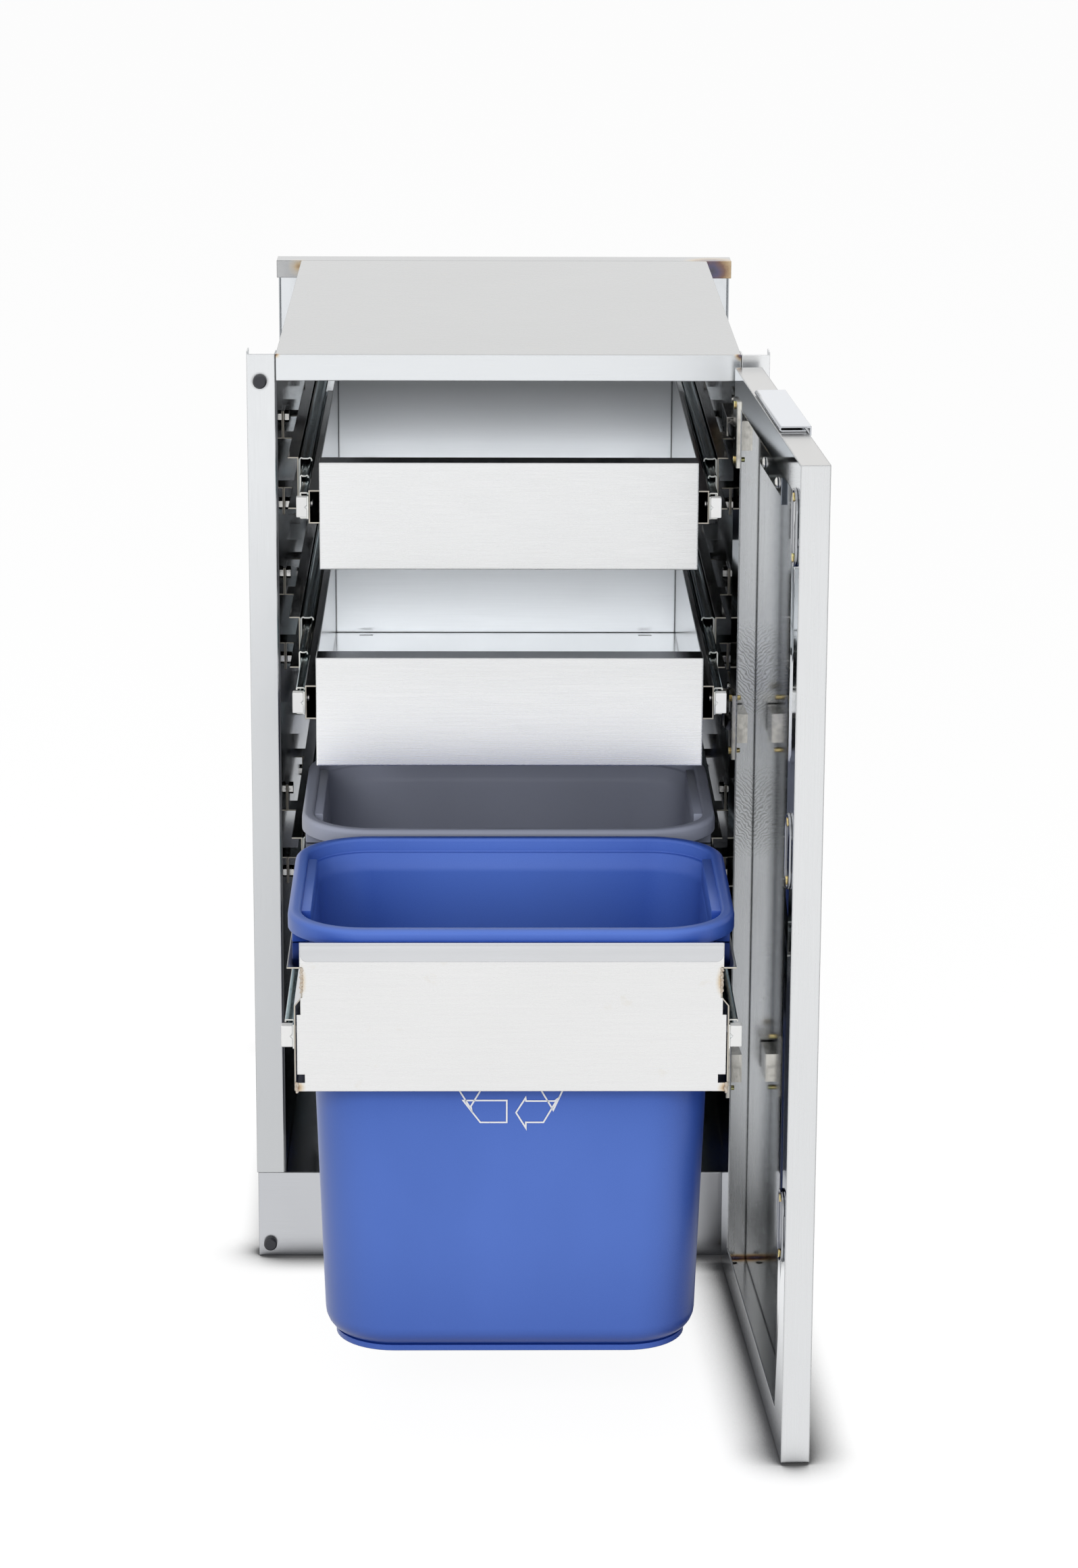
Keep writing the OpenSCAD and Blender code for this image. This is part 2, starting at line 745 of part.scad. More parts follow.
module door_shell() color("gainsboro") opened() difference() {
    slab(-door_x1, door_x1, door_out, door_in, door_z0, door_z1);
    slab(-door_x1 + sheet, door_x1 - sheet, door_out + sheet, door_in - sheet, door_z0 + sheet,
        door_z1 - sheet);
    slab(-door_x1 + door_flange, door_x1 - door_flange, door_in - 2 * sheet, door_in + sheet,
        door_z0 + door_band, door_z1 - door_band);
    cup_cutouts(1);
    cup_cutouts(-1);
    translate([door_x1 - drain_in, door_in - drain_off, door_z0 - 1])
        cylinder(h = sheet + 2, r = drain_r);
}

// The folded pull handle on the door's top edge
module door_handle() color("white") opened() {
    z = door_z1;
    leaf = 1.6;
    fold = handle_space / 2 + leaf;
    x0 = -handle_len / 2;
    x1 = handle_len / 2;
    y_fold = door_in - handle_inset - fold;
    y_out = door_out - handle_over;
    slab(x0, x1, door_out + 1, y_fold, z, z + leaf);
    slab(x0, x1, y_out, y_fold, z + leaf + handle_space, z + 2 * leaf + handle_space);
    slab(x0, x1, y_out, y_out + leaf, z + 2 * leaf + handle_space - handle_lip,
        z + 2 * leaf + handle_space);
    translate([x0, y_fold, z + fold]) rotate([90, 0, 90]) difference() {
        cylinder(h = handle_len, r = fold);
        translate([0, 0, -1]) cylinder(h = handle_len + 2, r = handle_space / 2);
        translate([-2 * fold, -2 * fold, -1]) cube([2 * fold, 4 * fold, handle_len + 2]);
    }
}

// The angle bracket under the top wall that backs the handle
module handle_bracket() color("slategray") opened() difference() {
    z1 = door_z1 - sheet;
    y0 = door_in - bracket_off - sheet;
    x1 = bracket_len / 2;
    union() {
        slab(-x1, x1, y0, y0 + sheet, z1 - bracket_drop, z1);
        slab(-x1, x1, door_out + sheet + bracket_back, y0 + sheet, z1 - sheet, z1);
        slab(-x1, -x1 + sheet, y0, y0 + bracket_off - sheet, z1 - bracket_drop, z1 - bracket_drop + 22);
    }
    for (x = bracket_screw_xs)
        bar_y(x, y0 - sheet, y0 + 2 * sheet, bracket_screw_z, screw_r + seam);
}

module bracket_screws() color("lightgray") opened() for (x = bracket_screw_xs) {
    y0 = door_in - bracket_off;
    head = 2.4;
    translate([x, y0, bracket_screw_z]) rotate([-90, 0, 0]) {
        cylinder(h = head / 2, r = screw_head_r + 1);
        translate([0, 0, head / 2]) cylinder(h = head / 2, r1 = screw_head_r + 1, r2 = screw_head_r - 1);
    }
    bar_y(x, y0 - sheet - 4, y0 + seam, bracket_screw_z, screw_r);
}

// The arc that the link sweeps inside a cup, drawn about the open door's axis
module link_arc(z, turn0, turn1, grow) {
    translate([axis[0], axis[1], z]) rotate([0, 0, turn0])
        rotate_extrude(angle = turn1 - turn0, $fn = 96)
            translate([link_r - link_t / 2 - grow, -link_h / 2 - grow])
                square([link_t + 2 * grow, link_h + 2 * grow]);
}

module hinge_cups() color("silver") for (z = hinge_zs) difference() {
    opened() {
        slab(cup_x - cup_w / 2, cup_x + cup_w / 2, door_in - cup_depth, door_in, z - cup_h / 2,
            z + cup_h / 2);
        difference() {
            slab(cup_x - wing_w / 2, cup_x + wing_w / 2, door_in, door_in + wing_t, z - wing_h / 2,
                z + wing_h / 2);
            for (s = [-1, 1])
                bar_y(cup_x, door_in - 1, door_in + wing_t + 1, z + s * cup_screw, screw_r + seam);
        }
    }
    link_arc(z, link_start, link_end + slot_spare, clear);
}

module hinge_cup_screws() color("darkkhaki") opened()
    for (z = hinge_zs, s = [-1, 1]) {
        bar_y(cup_x, door_in - 7, door_in + wing_t + seam, z + s * cup_screw, screw_r);
        bar_y(cup_x, door_in + wing_t, door_in + wing_t + 1.4, z + s * cup_screw, screw_head_r);
    }

module oval(h, w, tall) {
    straight = (tall - w) / 2;
    for (s = [-1, 1]) translate([0, s * straight, 0]) cylinder(h = h, r = w / 2);
    translate([-w / 2, -straight, 0]) cube([w, 2 * straight, h]);
}

module cover_plates() color("silver") opened() for (z = hinge_zs)
    translate([-cup_x, door_in, z]) rotate([-90, 0, 0]) difference() {
        oval(cover_t + cover_rim, cover_w, cover_h);
        translate([0, 0, cover_t]) oval(cover_rim + 1, cover_w - 4, cover_h - 4);
        for (s = [-1, 1]) translate([0, s * cup_screw, -1])
            cylinder(h = cover_t + 2, r = screw_r + seam);
    }

module cover_screws() color("goldenrod") opened()
    for (z = hinge_zs, s = [-1, 1]) {
        bar_y(-cup_x, door_in - 5, door_in + cover_t + seam, z + s * cup_screw, screw_r);
        bar_y(-cup_x, door_in + cover_t, door_in + cover_t + 2, z + s * cup_screw, screw_head_r);
    }

// Hinge arms on the right wall

module hinge_mount_plates() color("gray") for (z = hinge_zs) difference() {
    slab(wall_x - plate_t, wall_x, plate_y, plate_y + plate_len, z - plate_h / 2, z + plate_h / 2);
    for (s = [-1, 1])
        bar_x(wall_x - plate_t - 1, wall_x + 1, plate_screw_y, z + s * plate_screw_z, screw_r + seam);
}

module hinge_arms() color("dimgray") for (z = hinge_zs) {
    x1 = wall_x - plate_t;
    y0 = axis[1] + link_r * sin(link_start);
    slab(x1 - arm_t, x1, y0, arm_rear, z - arm_h / 2, z + arm_h / 2);
    link_arc(z, link_start, link_end, 0);
}

module hinge_mount_screws() color("whitesmoke") for (z = hinge_zs, s = [-1, 1]) {
    x1 = wall_x - plate_t;
    bar_x(x1 - 2, x1, plate_screw_y, z + s * plate_screw_z, screw_head_r);
    bar_x(x1 - seam, open_x + 1.5, plate_screw_y, z + s * plate_screw_z, screw_r);
}

top_panel();
mirror([1, 0, 0]) side_wall();  // left_side_wall
side_wall();  // right_side_wall
floor_pan();
toe_kick();
mirror([1, 0, 0]) stile();  // left_stile
stile();  // right_stile
rear_panel();
rear_rail();
door_bumpers();
mirror([1, 0, 0]) rail(upper_rail_z);  // upper_left_rail
rail(upper_rail_z);  // upper_right_rail
mirror([1, 0, 0]) rail(middle_rail_z);  // middle_left_rail
rail(middle_rail_z);  // middle_right_rail
mirror([1, 0, 0]) rail(lower_rail_z);  // lower_left_rail
rail(lower_rail_z);  // lower_right_rail
rail_bolts();
both_sides() cabinet_member(upper_rail_z);  // upper_cabinet_members
both_sides() cabinet_member(middle_rail_z);  // middle_cabinet_members
both_sides() cabinet_member(lower_rail_z);  // lower_cabinet_members
hinge_mount_plates();
hinge_arms();
hinge_mount_screws();
door_shell();
door_handle();
handle_bracket();
bracket_screws();
hinge_cups();
hinge_cup_screws();
cover_plates();
cover_screws();
pulled(upper_pull) drawer_front(upper_rail_z);  // upper_drawer_front
pulled(upper_pull) drawer_tray(upper_rail_z);  // upper_drawer_tray
pulled(upper_pull) drawer_back(upper_rail_z);  // upper_drawer_back
pulled(upper_pull) drawer_channels(upper_rail_z);  // upper_drawer_channels
pulled(upper_pull) both_sides() drawer_member(upper_rail_z);  // upper_drawer_members
pulled(upper_pull) both_sides() end_block(upper_rail_z);  // upper_end_blocks
pulled(upper_pull) member_screws(upper_rail_z);  // upper_drawer_screws
pulled(lower_pull) drawer_front(middle_rail_z);  // lower_drawer_front
pulled(lower_pull) drawer_tray(middle_rail_z);  // lower_drawer_tray
pulled(lower_pull) drawer_back(middle_rail_z);  // lower_drawer_back
pulled(lower_pull) drawer_channels(middle_rail_z);  // lower_drawer_channels
pulled(lower_pull) both_sides() drawer_member(middle_rail_z);  // lower_drawer_members
pulled(lower_pull) both_sides() end_block(middle_rail_z);  // middle_end_blocks
pulled(lower_pull) member_screws(middle_rail_z);  // lower_drawer_screws
pulled(carrier_pull) carrier_front();
pulled(carrier_pull) mirror([1, 0, 0]) carrier_side();  // carrier_left_side
pulled(carrier_pull) carrier_side();  // carrier_right_side
pulled(carrier_pull) carrier_back();
pulled(carrier_pull) both_sides() drawer_member(lower_rail_z);  // carrier_members
pulled(carrier_pull) both_sides() end_block(lower_rail_z);  // lower_end_blocks
pulled(carrier_pull) member_screws(lower_rail_z);  // carrier_screws
half_pulled(upper_pull) both_sides() mid_member(upper_rail_z);  // upper_mid_members
half_pulled(lower_pull) both_sides() mid_member(middle_rail_z);  // middle_mid_members
half_pulled(carrier_pull) both_sides() mid_member(lower_rail_z);  // lower_mid_members
half_pulled(upper_pull) both_sides() ball_cages(upper_rail_z);  // upper_ball_cages
half_pulled(lower_pull) both_sides() ball_cages(middle_rail_z);  // middle_ball_cages
half_pulled(carrier_pull) both_sides() ball_cages(lower_rail_z);  // lower_ball_cages
color("royalblue") pulled(carrier_pull) bin(first_bin_y);  // blue_bin
color("dimgray") pulled(carrier_pull) bin(first_bin_y + bin_d + bin_gap);  // grey_bin
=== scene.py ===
"""Looks of a steel cabinet with two drawers and a pull-out carrier for two bins.

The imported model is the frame: its sheet metal keeps its shape and gets rounded bends and finishes.
The bins, the slides' rolled members, the carrier's hem, the welds and the printed arrows are made here.
"""
from __future__ import annotations

import logging
import math
from collections.abc import Iterable, Sequence
from dataclasses import dataclass, replace
from enum import Enum
from typing import ClassVar, NamedTuple, TypeVar

import bmesh
import bpy
from mathutils import Matrix, Vector


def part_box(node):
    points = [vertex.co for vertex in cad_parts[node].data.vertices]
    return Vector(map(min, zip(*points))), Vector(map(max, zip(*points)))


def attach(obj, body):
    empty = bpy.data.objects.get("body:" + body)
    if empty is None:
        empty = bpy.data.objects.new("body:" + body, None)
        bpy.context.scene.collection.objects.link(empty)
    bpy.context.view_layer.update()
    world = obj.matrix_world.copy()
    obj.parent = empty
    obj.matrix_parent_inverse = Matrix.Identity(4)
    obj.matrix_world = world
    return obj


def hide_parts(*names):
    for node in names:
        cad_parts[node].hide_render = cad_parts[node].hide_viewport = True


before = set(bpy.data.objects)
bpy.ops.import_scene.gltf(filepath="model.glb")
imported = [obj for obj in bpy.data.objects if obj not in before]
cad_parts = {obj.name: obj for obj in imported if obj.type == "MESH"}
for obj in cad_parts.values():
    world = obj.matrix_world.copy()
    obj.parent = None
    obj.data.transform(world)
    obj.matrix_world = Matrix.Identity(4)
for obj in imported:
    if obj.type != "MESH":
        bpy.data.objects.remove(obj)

LOG = logging.getLogger("cabinet")
Point = tuple[float, float, float]
Colour = tuple[float, float, float]
Socket = bpy.types.NodeSocket
Value = float | Point | Socket
Kind = TypeVar("Kind")

WHITE: Colour = (1.0, 1.0, 1.0)
EVEN: Point = (1.0, 1.0, 1.0)
NOWHERE: Point = (0.0, 0.0, 0.0)
UP: Point = (0.0, 0.0, 1.0)
FRONT: Point = (0.0, -1.0, 0.0)
BACK: Point = (0.0, 1.0, 0.0)


# Node recipes

class Tree:
    """A node tree, with the steps that its patterns are built from."""

    def __init__(self, tree: bpy.types.NodeTree) -> None:
        """Takes up a node tree.

        Args:
            tree: The tree of a material or a world.
        """
        self.nodes, self.links = tree.nodes, tree.links

    def feed(self, socket: Socket, value: Value) -> None:
        """Links a socket to an input, or writes a number, a vector or a colour on the input.

        Args:
            socket: The input.
            value: What it gets.
        """
        if isinstance(value, Socket):
            self.links.new(value, socket)
        elif socket.type == "RGBA":
            socket.default_value = (*value, 1.0)
        else:
            socket.default_value = value

    def add(self, kind: str, inputs: dict[str | int, Value] | None = None,
            **settings: object) -> bpy.types.Node:
        """Adds a node.

        Args:
            kind: The node's type without its prefix, such as TexNoise.
            inputs: What its inputs get, by name or by number.
            settings: Properties of the node.

        Returns:
            The new node.
        """
        node = self.nodes.new("ShaderNode" + kind)
        for key, value in settings.items():
            setattr(node, key, value)
        for key, value in (inputs or {}).items():
            self.feed(node.inputs[key], value)
        return node

    def span(self, value: Socket, low: float, high: float, first: float = 0.0,
             last: float = 1.0) -> Socket:
        """Stretches a value from one range to another and clamps it.

        Args:
            value: The value to stretch.
            low: Start of its range.
            high: End of its range.
            first: Result at the start.
            last: Result at the end.

        Returns:
            The stretched value.
        """
        return self.add("MapRange", {"Value": value, "From Min": low, "From Max": high, "To Min": first,
                                     "To Max": last}).outputs["Result"]

    def combine(self, first: Socket, second: Socket, operation: str = "ADD") -> Socket:
        """Combines two values with a math operation."""
        return self.add("Math", {0: first, 1: second}, operation=operation).outputs[0]

    def tint(self, factor: Value, first: Value, second: Value, mode: str = "MIX") -> Socket:
        """Mixes two colours.

        Args:
            factor: 0 for the first colour, 1 for the second.
            first: A colour or a colour socket.
            second: A colour or a colour socket.
            mode: How the second is laid over the first.

        Returns:
            The mixed colour.
        """
        return self.add("Mix", {0: factor, 6: first, 7: second}, data_type="RGBA",
                        blend_type=mode).outputs[2]

    def blend(self, factor: Socket, first: Value, second: Value) -> Socket:
        """Mixes two values, the first at a factor of 0 and the second at 1."""
        return self.add("Mix", {0: factor, 2: first, 3: second}, data_type="FLOAT").outputs[0]

    def seen(self) -> Socket:
        """Tells the rays that show a surface from those that only carry its light.

        Returns:
            1 for camera, glossy and transmission rays, and 0 for the rest.
        """
        path = self.add("LightPath")
        value = path.outputs["Is Camera Ray"]
        for other in ("Is Glossy Ray", "Is Transmission Ray"):
            value = self.combine(value, path.outputs[other], "MAXIMUM")
        return value


class Recipe(Tree):
    """The nodes of one material, built round its principled shader."""

    def __init__(self, name: str) -> None:
        """Starts a material.

        Args:
            name: The material's name.
        """
        self.material = bpy.data.materials.new(name)
        self.material.use_nodes = True
        super().__init__(self.material.node_tree)
        self.shader = self.nodes["Principled BSDF"]

    def fix(self, **values: Value) -> None:
        """Feeds the shader's own inputs.

        Args:
            values: Input names in lower case with underscores, and what they get.
        """
        for key, value in values.items():
            name = key.replace("_", " ").title().replace("Ior", "IOR")
            self.feed(self.shader.inputs[name], value)

    def place(self, scale: Point = EVEN, shift: Point = NOWHERE, turn: Point = NOWHERE) -> Socket:
        """Gives object coordinates after a scale, a turn and a shift.

        Args:
            scale: Factor along each axis.
            shift: Distance moved, in scaled units.
            turn: Angles in radians.

        Returns:
            The vector socket.
        """
        return self.add("Mapping", {"Vector": self.add("TexCoord").outputs["Object"], "Location": shift,
                                    "Rotation": turn, "Scale": scale}).outputs["Vector"]

    def noise(self, vector: Socket, scale: float, detail: float = 2.0, rough: float = 0.5) -> Socket:
        """Gives a noise value from 0 to 1.

        Args:
            vector: Where the pattern is read.
            scale: Cells in a unit of the vector.
            detail: Octaves.
            rough: Weight of the finer octaves.

        Returns:
            The value socket.
        """
        return self.add("TexNoise", {"Vector": vector, "Scale": scale, "Detail": detail,
                                     "Roughness": rough}).outputs["Fac"]

    def ramp(self, factor: Socket, stops: Sequence[tuple[float, Colour]]) -> Socket:
        """Reads a colour off a ramp.

        Args:
            factor: Place on the ramp, from 0 to 1.
            stops: Places and their colours, in order.

        Returns:
            The colour socket.
        """
        node = self.add("ValToRGB", {"Fac": factor})
        marks = node.color_ramp.elements
        while len(marks) < len(stops):
            marks.new(0.5)
        for mark, (place, colour) in zip(marks, stops):
            mark.position = place
            mark.color = (*colour, 1.0)
        return node.outputs["Color"]

    def height(self) -> Socket:
        """Gives the height above the floor."""
        return self.add("SeparateXYZ", {"Vector": self.place()}).outputs["Z"]

    def near(self, spot: Point, reach: float, squeeze: Point = EVEN) -> Socket:
        """Gives 1 at a point in the object and 0 beyond its reach.

        Args:
            spot: The point.
            reach: Distance at which the value has fallen to 0.
            squeeze: Factor on the distance along each axis.

        Returns:
            The value socket.
        """
        shift = tuple(-s * q for s, q in zip(spot, squeeze))
        far = self.add("VectorMath", {0: self.place(squeeze, shift)}, operation="LENGTH")
        return self.span(far.outputs["Value"], 0.0, reach, 1.0, 0.0)

    def facing(self, towards: Point) -> Socket:
        """Gives 1 where the surface faces a direction of the object."""
        node = self.add("VectorMath", {0: self.add("TexCoord").outputs["Normal"], 1: towards},
                        operation="DOT_PRODUCT")
        return self.span(node.outputs["Value"], 0.75, 0.9)

    def rounded(self, radius: float) -> Socket:
        """Gives the normal of a surface whose edges are rounded to a radius."""
        return self.add("Bevel", {"Radius": radius}, samples=4).outputs["Normal"]

    def bends(self, normal: Socket) -> Socket:
        """Finds the bends, where the surface faces no side of the object.

        Args:
            normal: Normal of the surface with its edges rounded.

        Returns:
            1 in the middle of a bend and 0 on the flat sheet.
        """
        local = self.add("VectorTransform", {"Vector": normal}, vector_type="NORMAL",
                         convert_from="WORLD", convert_to="OBJECT")
        size = self.add("VectorMath", {0: local.outputs["Vector"]}, operation="ABSOLUTE")
        x, y, z = self.add("SeparateXYZ", {"Vector": size.outputs["Vector"]}).outputs
        most = self.combine(self.combine(x, y, "MAXIMUM"), z, "MAXIMUM")
        return self.span(most, 0.82, 0.97, 1.0, 0.0)

    def corner_shade(self, reach: float) -> Socket:
        """Gives 1 deep in an inner corner and 0 out of its reach, the mask for painted corner shade."""
        node = self.add("AmbientOcclusion", {"Distance": reach}, samples=4)
        return self.span(node.outputs["AO"], 0.3, 0.92, 1.0, 0.0)

    def bump(self, height: Socket, strength: float, depth: float) -> None:
        """Tilts the surface with a height pattern.

        Args:
            height: The pattern, from 0 to 1.
            strength: Share of the effect.
            depth: Height of the pattern in metres.
        """
        node = self.add("Bump", {"Strength": strength, "Distance": depth, "Height": height})
        normal = self.shader.inputs["Normal"]
        if normal.is_linked:
            self.feed(node.inputs["Normal"], normal.links[0].from_socket)
        self.fix(normal=node.outputs["Normal"])


# Finishes

class Grain(Enum):
    """Direction of a sheet's brushing, as scales of its streaks."""

    ACROSS = (22.0, 1500.0, 1500.0)
    DEEP = (1500.0, 22.0, 1500.0)
    UP = (1500.0, 1500.0, 22.0)


@dataclass(frozen=True)
class Heat:
    """A spot where a weld has coloured the steel, and how deep its colours go."""

    TONES: ClassVar = ((0.0, (0.72, 0.68, 0.58)), (0.35, (0.58, 0.42, 0.22)), (0.55, (0.20, 0.11, 0.08)),
                       (0.72, (0.10, 0.09, 0.16)), (0.88, (0.07, 0.07, 0.08)))

    spot: Point
    reach: float
    squeeze: Point = EVEN
    depth: float = 1.0

    def lay(self, r: Recipe, shade: Socket, marks: Socket) -> Socket:
        """Lays straw, brown and blue temper colours round the weld.

        Args:
            r: The material's recipe.
            shade: The steel's colour so far.
            marks: A pattern that makes the colours' edge uneven.

        Returns:
            The coloured steel.
        """
        close = r.span(r.near(self.spot, self.reach, self.squeeze), 0.0, 1.0, 0.0, self.depth)
        near = r.combine(close, r.span(marks, 0.3, 0.7, -0.07, 0.07))
        return r.tint(r.span(near, 0.05, 0.45, 0.0, 0.92), shade, r.ramp(near, self.TONES))


@dataclass(frozen=True)
class Smear:
    """A spot that greasy fingers have touched."""

    GREASE: ClassVar[Colour] = (0.30, 0.29, 0.28)
    DULL: ClassVar[float] = 0.42

    spot: Point
    reach: float

    def lay(self, r: Recipe, shade: Socket, spread: Socket) -> tuple[Socket, Socket]:
        """Lays the finger marks on the steel.

        Args:
            r: The material's recipe.
            shade: The steel's colour so far.
            spread: Its roughness so far.

        Returns:
            The new colour and roughness.
        """
        wave = r.add("TexWave", {"Vector": r.place(), "Scale": 160.0, "Distortion": 9.0, "Detail": 3.0},
                     wave_type="BANDS", bands_direction="DIAGONAL")
        near = r.span(r.near(self.spot, self.reach), 0.1, 0.6)
        mark = r.combine(near, r.span(wave.outputs["Fac"], 0.55, 0.9, 0.0, 0.42), "MULTIPLY")
        return r.tint(mark, shade, self.GREASE), r.blend(mark, spread, self.DULL)


@dataclass(frozen=True)
class Side:
    """A side of a sheet whose face differs from the rest; some carry their own finish, some painted light
    and shade.
    """

    towards: Point
    colour: Colour
    rough: float


@dataclass(frozen=True)
class PaintedFade:
    """Painted light and shade that change with a sheet's height, from none at the start to a level at the
    end.
    """

    start: float
    end: float
    level: float


@dataclass(frozen=True)
class SheetSteel:
    """Stainless sheet with a brushed or a polished face.

    The streak, the cloud and the bend are the strengths of the brushing, of the stains and of the painted
    dark line on a bend, a painted reflection. The crease is how far painted shade reaches into inner
    corners, and the fold is the bends' radius, both in metres.
    """

    STREAK_TINT: ClassVar[Colour] = (0.965, 0.965, 0.965)
    BEND_SHADE_LEVEL: ClassVar[float] = 0.3
    CORNER_SHADE_LEVEL: ClassVar[float] = 0.12
    CORNER_SHADE_SHARE: ClassVar[float] = 0.9

    name: str
    colour: Colour
    rough: float
    grain: Grain = Grain.ACROSS
    streak: float = 0.02
    cloud: float = 0.02
    bend: float = 0.4
    crease: float = 0.0
    fold: float = 0.0012
    painted_fade: PaintedFade | None = None
    sides: tuple[Side, ...] = ()
    heat: tuple[Heat, ...] = ()
    smears: tuple[Smear, ...] = ()

    def material(self) -> bpy.types.Material:
        """Builds the steel, with streaks, clouds, finger marks, weld colours and painted light and shade.

        Returns:
            The material.
        """
        r = Recipe(self.name)
        normal = r.rounded(self.fold)
        r.fix(metallic=1.0, specular_ior_level=0.5, normal=normal)
        streaks = r.noise(r.place(self.grain.value), scale=1.0, detail=3.0, rough=0.6)
        clouds = r.noise(r.place(), scale=7.0, detail=3.0, rough=0.55)
        marks = r.noise(r.place(), scale=46.0, detail=5.0, rough=0.65)
        shade = r.tint(r.span(clouds, 0.35, 0.7), self.colour, self.toned(1.0 - 1.5 * self.cloud))
        spread = r.combine(r.span(streaks, 0.3, 0.7, self.rough - self.streak, self.rough + self.streak),
                           r.span(marks, 0.55, 0.75, 0.0, self.cloud * 0.7))
        # Some sides carry a finish of their own, others painted light and shade, on the faces that face
        # their way.
        for side in self.sides:
            there = r.facing(side.towards)
            shade = r.tint(there, shade, side.colour)
            spread = r.blend(there, spread, side.rough)
        grey = r.tint(r.span(streaks, 0.25, 0.75), WHITE, self.STREAK_TINT)
        shade = r.tint(1.0, shade, grey, "MULTIPLY")
        # Painted light and shade that change with height.
        if self.painted_fade:
            there = r.span(r.height(), self.painted_fade.start, self.painted_fade.end)
            shade = r.tint(there, shade, self.toned(self.painted_fade.level))
        # Painted shade: a dark line along each bend stands in for a dark reflection.
        shade = r.tint(r.span(r.bends(normal), 0.0, 1.0, 0.0, self.bend), shade, self.toned(self.BEND_SHADE_LEVEL))
        # Painted shade deep in inner corners.
        if self.crease:
            shade = r.tint(r.span(r.corner_shade(self.crease), 0.0, 1.0, 0.0, self.CORNER_SHADE_SHARE), shade,
                           self.toned(self.CORNER_SHADE_LEVEL))
        for smear in self.smears:
            shade, spread = smear.lay(r, shade, spread)
        for heat in self.heat:
            shade = heat.lay(r, shade, marks)
        r.fix(base_color=shade, roughness=spread)
        r.bump(streaks, self.streak, depth=0.0002)
        r.bump(clouds, strength=0.006, depth=0.002)
        return r.material

    def toned(self, level: float) -> Colour:
        """Gives the steel's colour at another level."""
        return tuple(min(1.0, c * level) for c in self.colour)


@dataclass(frozen=True)
class PlatedSteel:
    """Pressed steel with a plated skin: zinc, nickel or yellow chromate.

    Its tones are spread over the pattern's values from FIRST to LAST.
    """

    FIRST: ClassVar[float] = 0.32
    LAST: ClassVar[float] = 0.68
    EDGE_ROUGH: ClassVar[float] = 0.4

    name: str
    tones: tuple[Colour, ...]
    rough: float
    streaks: Point = (210.0, 3.0, 210.0)
    edge: Colour | None = None

    def material(self) -> bpy.types.Material:
        """Builds the plating, with drawn streaks in its tones and bare cut ends.

        Returns:
            The material.
        """
        r = Recipe(self.name)
        drawn = r.noise(r.place(self.streaks), scale=1.0, detail=4.0, rough=0.65)
        spots = r.noise(r.place(), scale=190.0, detail=3.0)
        step = (self.LAST - self.FIRST) / (len(self.tones) - 1)
        shade = r.ramp(drawn, tuple((self.FIRST + step * i, tone) for i, tone in enumerate(self.tones)))
        shade = r.tint(r.span(spots, 0.55, 0.8, 0.0, 0.4), shade, tuple(c * 0.5 for c in self.tones[0]))
        spread = r.span(spots, 0.3, 0.7, self.rough - 0.05, self.rough + 0.08)
        if self.edge:
            there = r.facing(FRONT)
            shade = r.tint(there, shade, self.edge)
            spread = r.blend(there, spread, self.EDGE_ROUGH)
        r.fix(metallic=1.0, base_color=shade, roughness=spread)
        r.bump(drawn, strength=0.12, depth=0.0004)
        r.bump(spots, strength=0.05, depth=0.0002)
        return r.material


@dataclass(frozen=True)
class Plastic:
    """Moulded plastic or rubber with a fine texture and scuffs.

    The hollow shade is painted shade: the colour it turns to where walls closer than the reach stand round
    it.
    """

    name: str
    colour: Colour
    worn: Colour
    rough: float
    texture: float = 0.12
    hollow_shade: Colour | None = None
    reach: float = 0.20

    def material(self) -> bpy.types.Material:
        """Builds the plastic, with flow clouds, a fine texture, rubbed marks and painted shade in its
        hollows.

        Returns:
            The material.
        """
        r = Recipe(self.name)
        r.fix(ior=1.46, specular_ior_level=0.5)
        flow = r.noise(r.place((1.0, 1.0, 0.6)), scale=9.0, detail=3.0)
        fine = r.noise(r.place(), scale=1500.0)
        rubs = r.noise(r.place((1.0, 1.0, 5.0), turn=(0.2, 0.3, 0.1)), scale=42.0, detail=6.0, rough=0.75)
        deep = tuple(c * 0.93 for c in self.colour)
        shade = r.tint(r.span(flow, 0.35, 0.65), self.colour, deep)
        shade = r.tint(r.span(rubs, 0.68, 0.8, 0.0, 0.35), shade, self.worn)
        # Painted shade in the hollows, where walls stand close round the surface.
        if self.hollow_shade:
            shade = r.tint(r.span(r.corner_shade(self.reach), 0.05, 0.6), shade, self.hollow_shade)
        spread = r.combine(r.span(flow, 0.3, 0.7, self.rough - 0.03, self.rough + 0.03),
                           r.span(rubs, 0.6, 0.8, 0.0, 0.08))
        r.fix(base_color=shade, roughness=spread)
        r.bump(fine, self.texture, depth=0.00015)
        return r.material


@dataclass(frozen=True)
class Ink:
    """Printed ink, slightly worn."""

    name: str
    colour: Colour
    ground: Colour
    rough: float = 0.42

    def material(self) -> bpy.types.Material:
        """Builds the ink, with pinholes to the plastic under it.

        Returns:
            The material.
        """
        r = Recipe(self.name)
        holes = r.noise(r.place(), scale=620.0, detail=3.0, rough=0.6)
        shade = r.tint(r.span(holes, 0.68, 0.78, 0.0, 0.8), self.colour, self.ground)
        r.fix(base_color=shade, roughness=self.rough)
        r.bump(holes, strength=0.1, depth=0.0001)
        return r.material


Finish = SheetSteel | PlatedSteel | Plastic | Ink


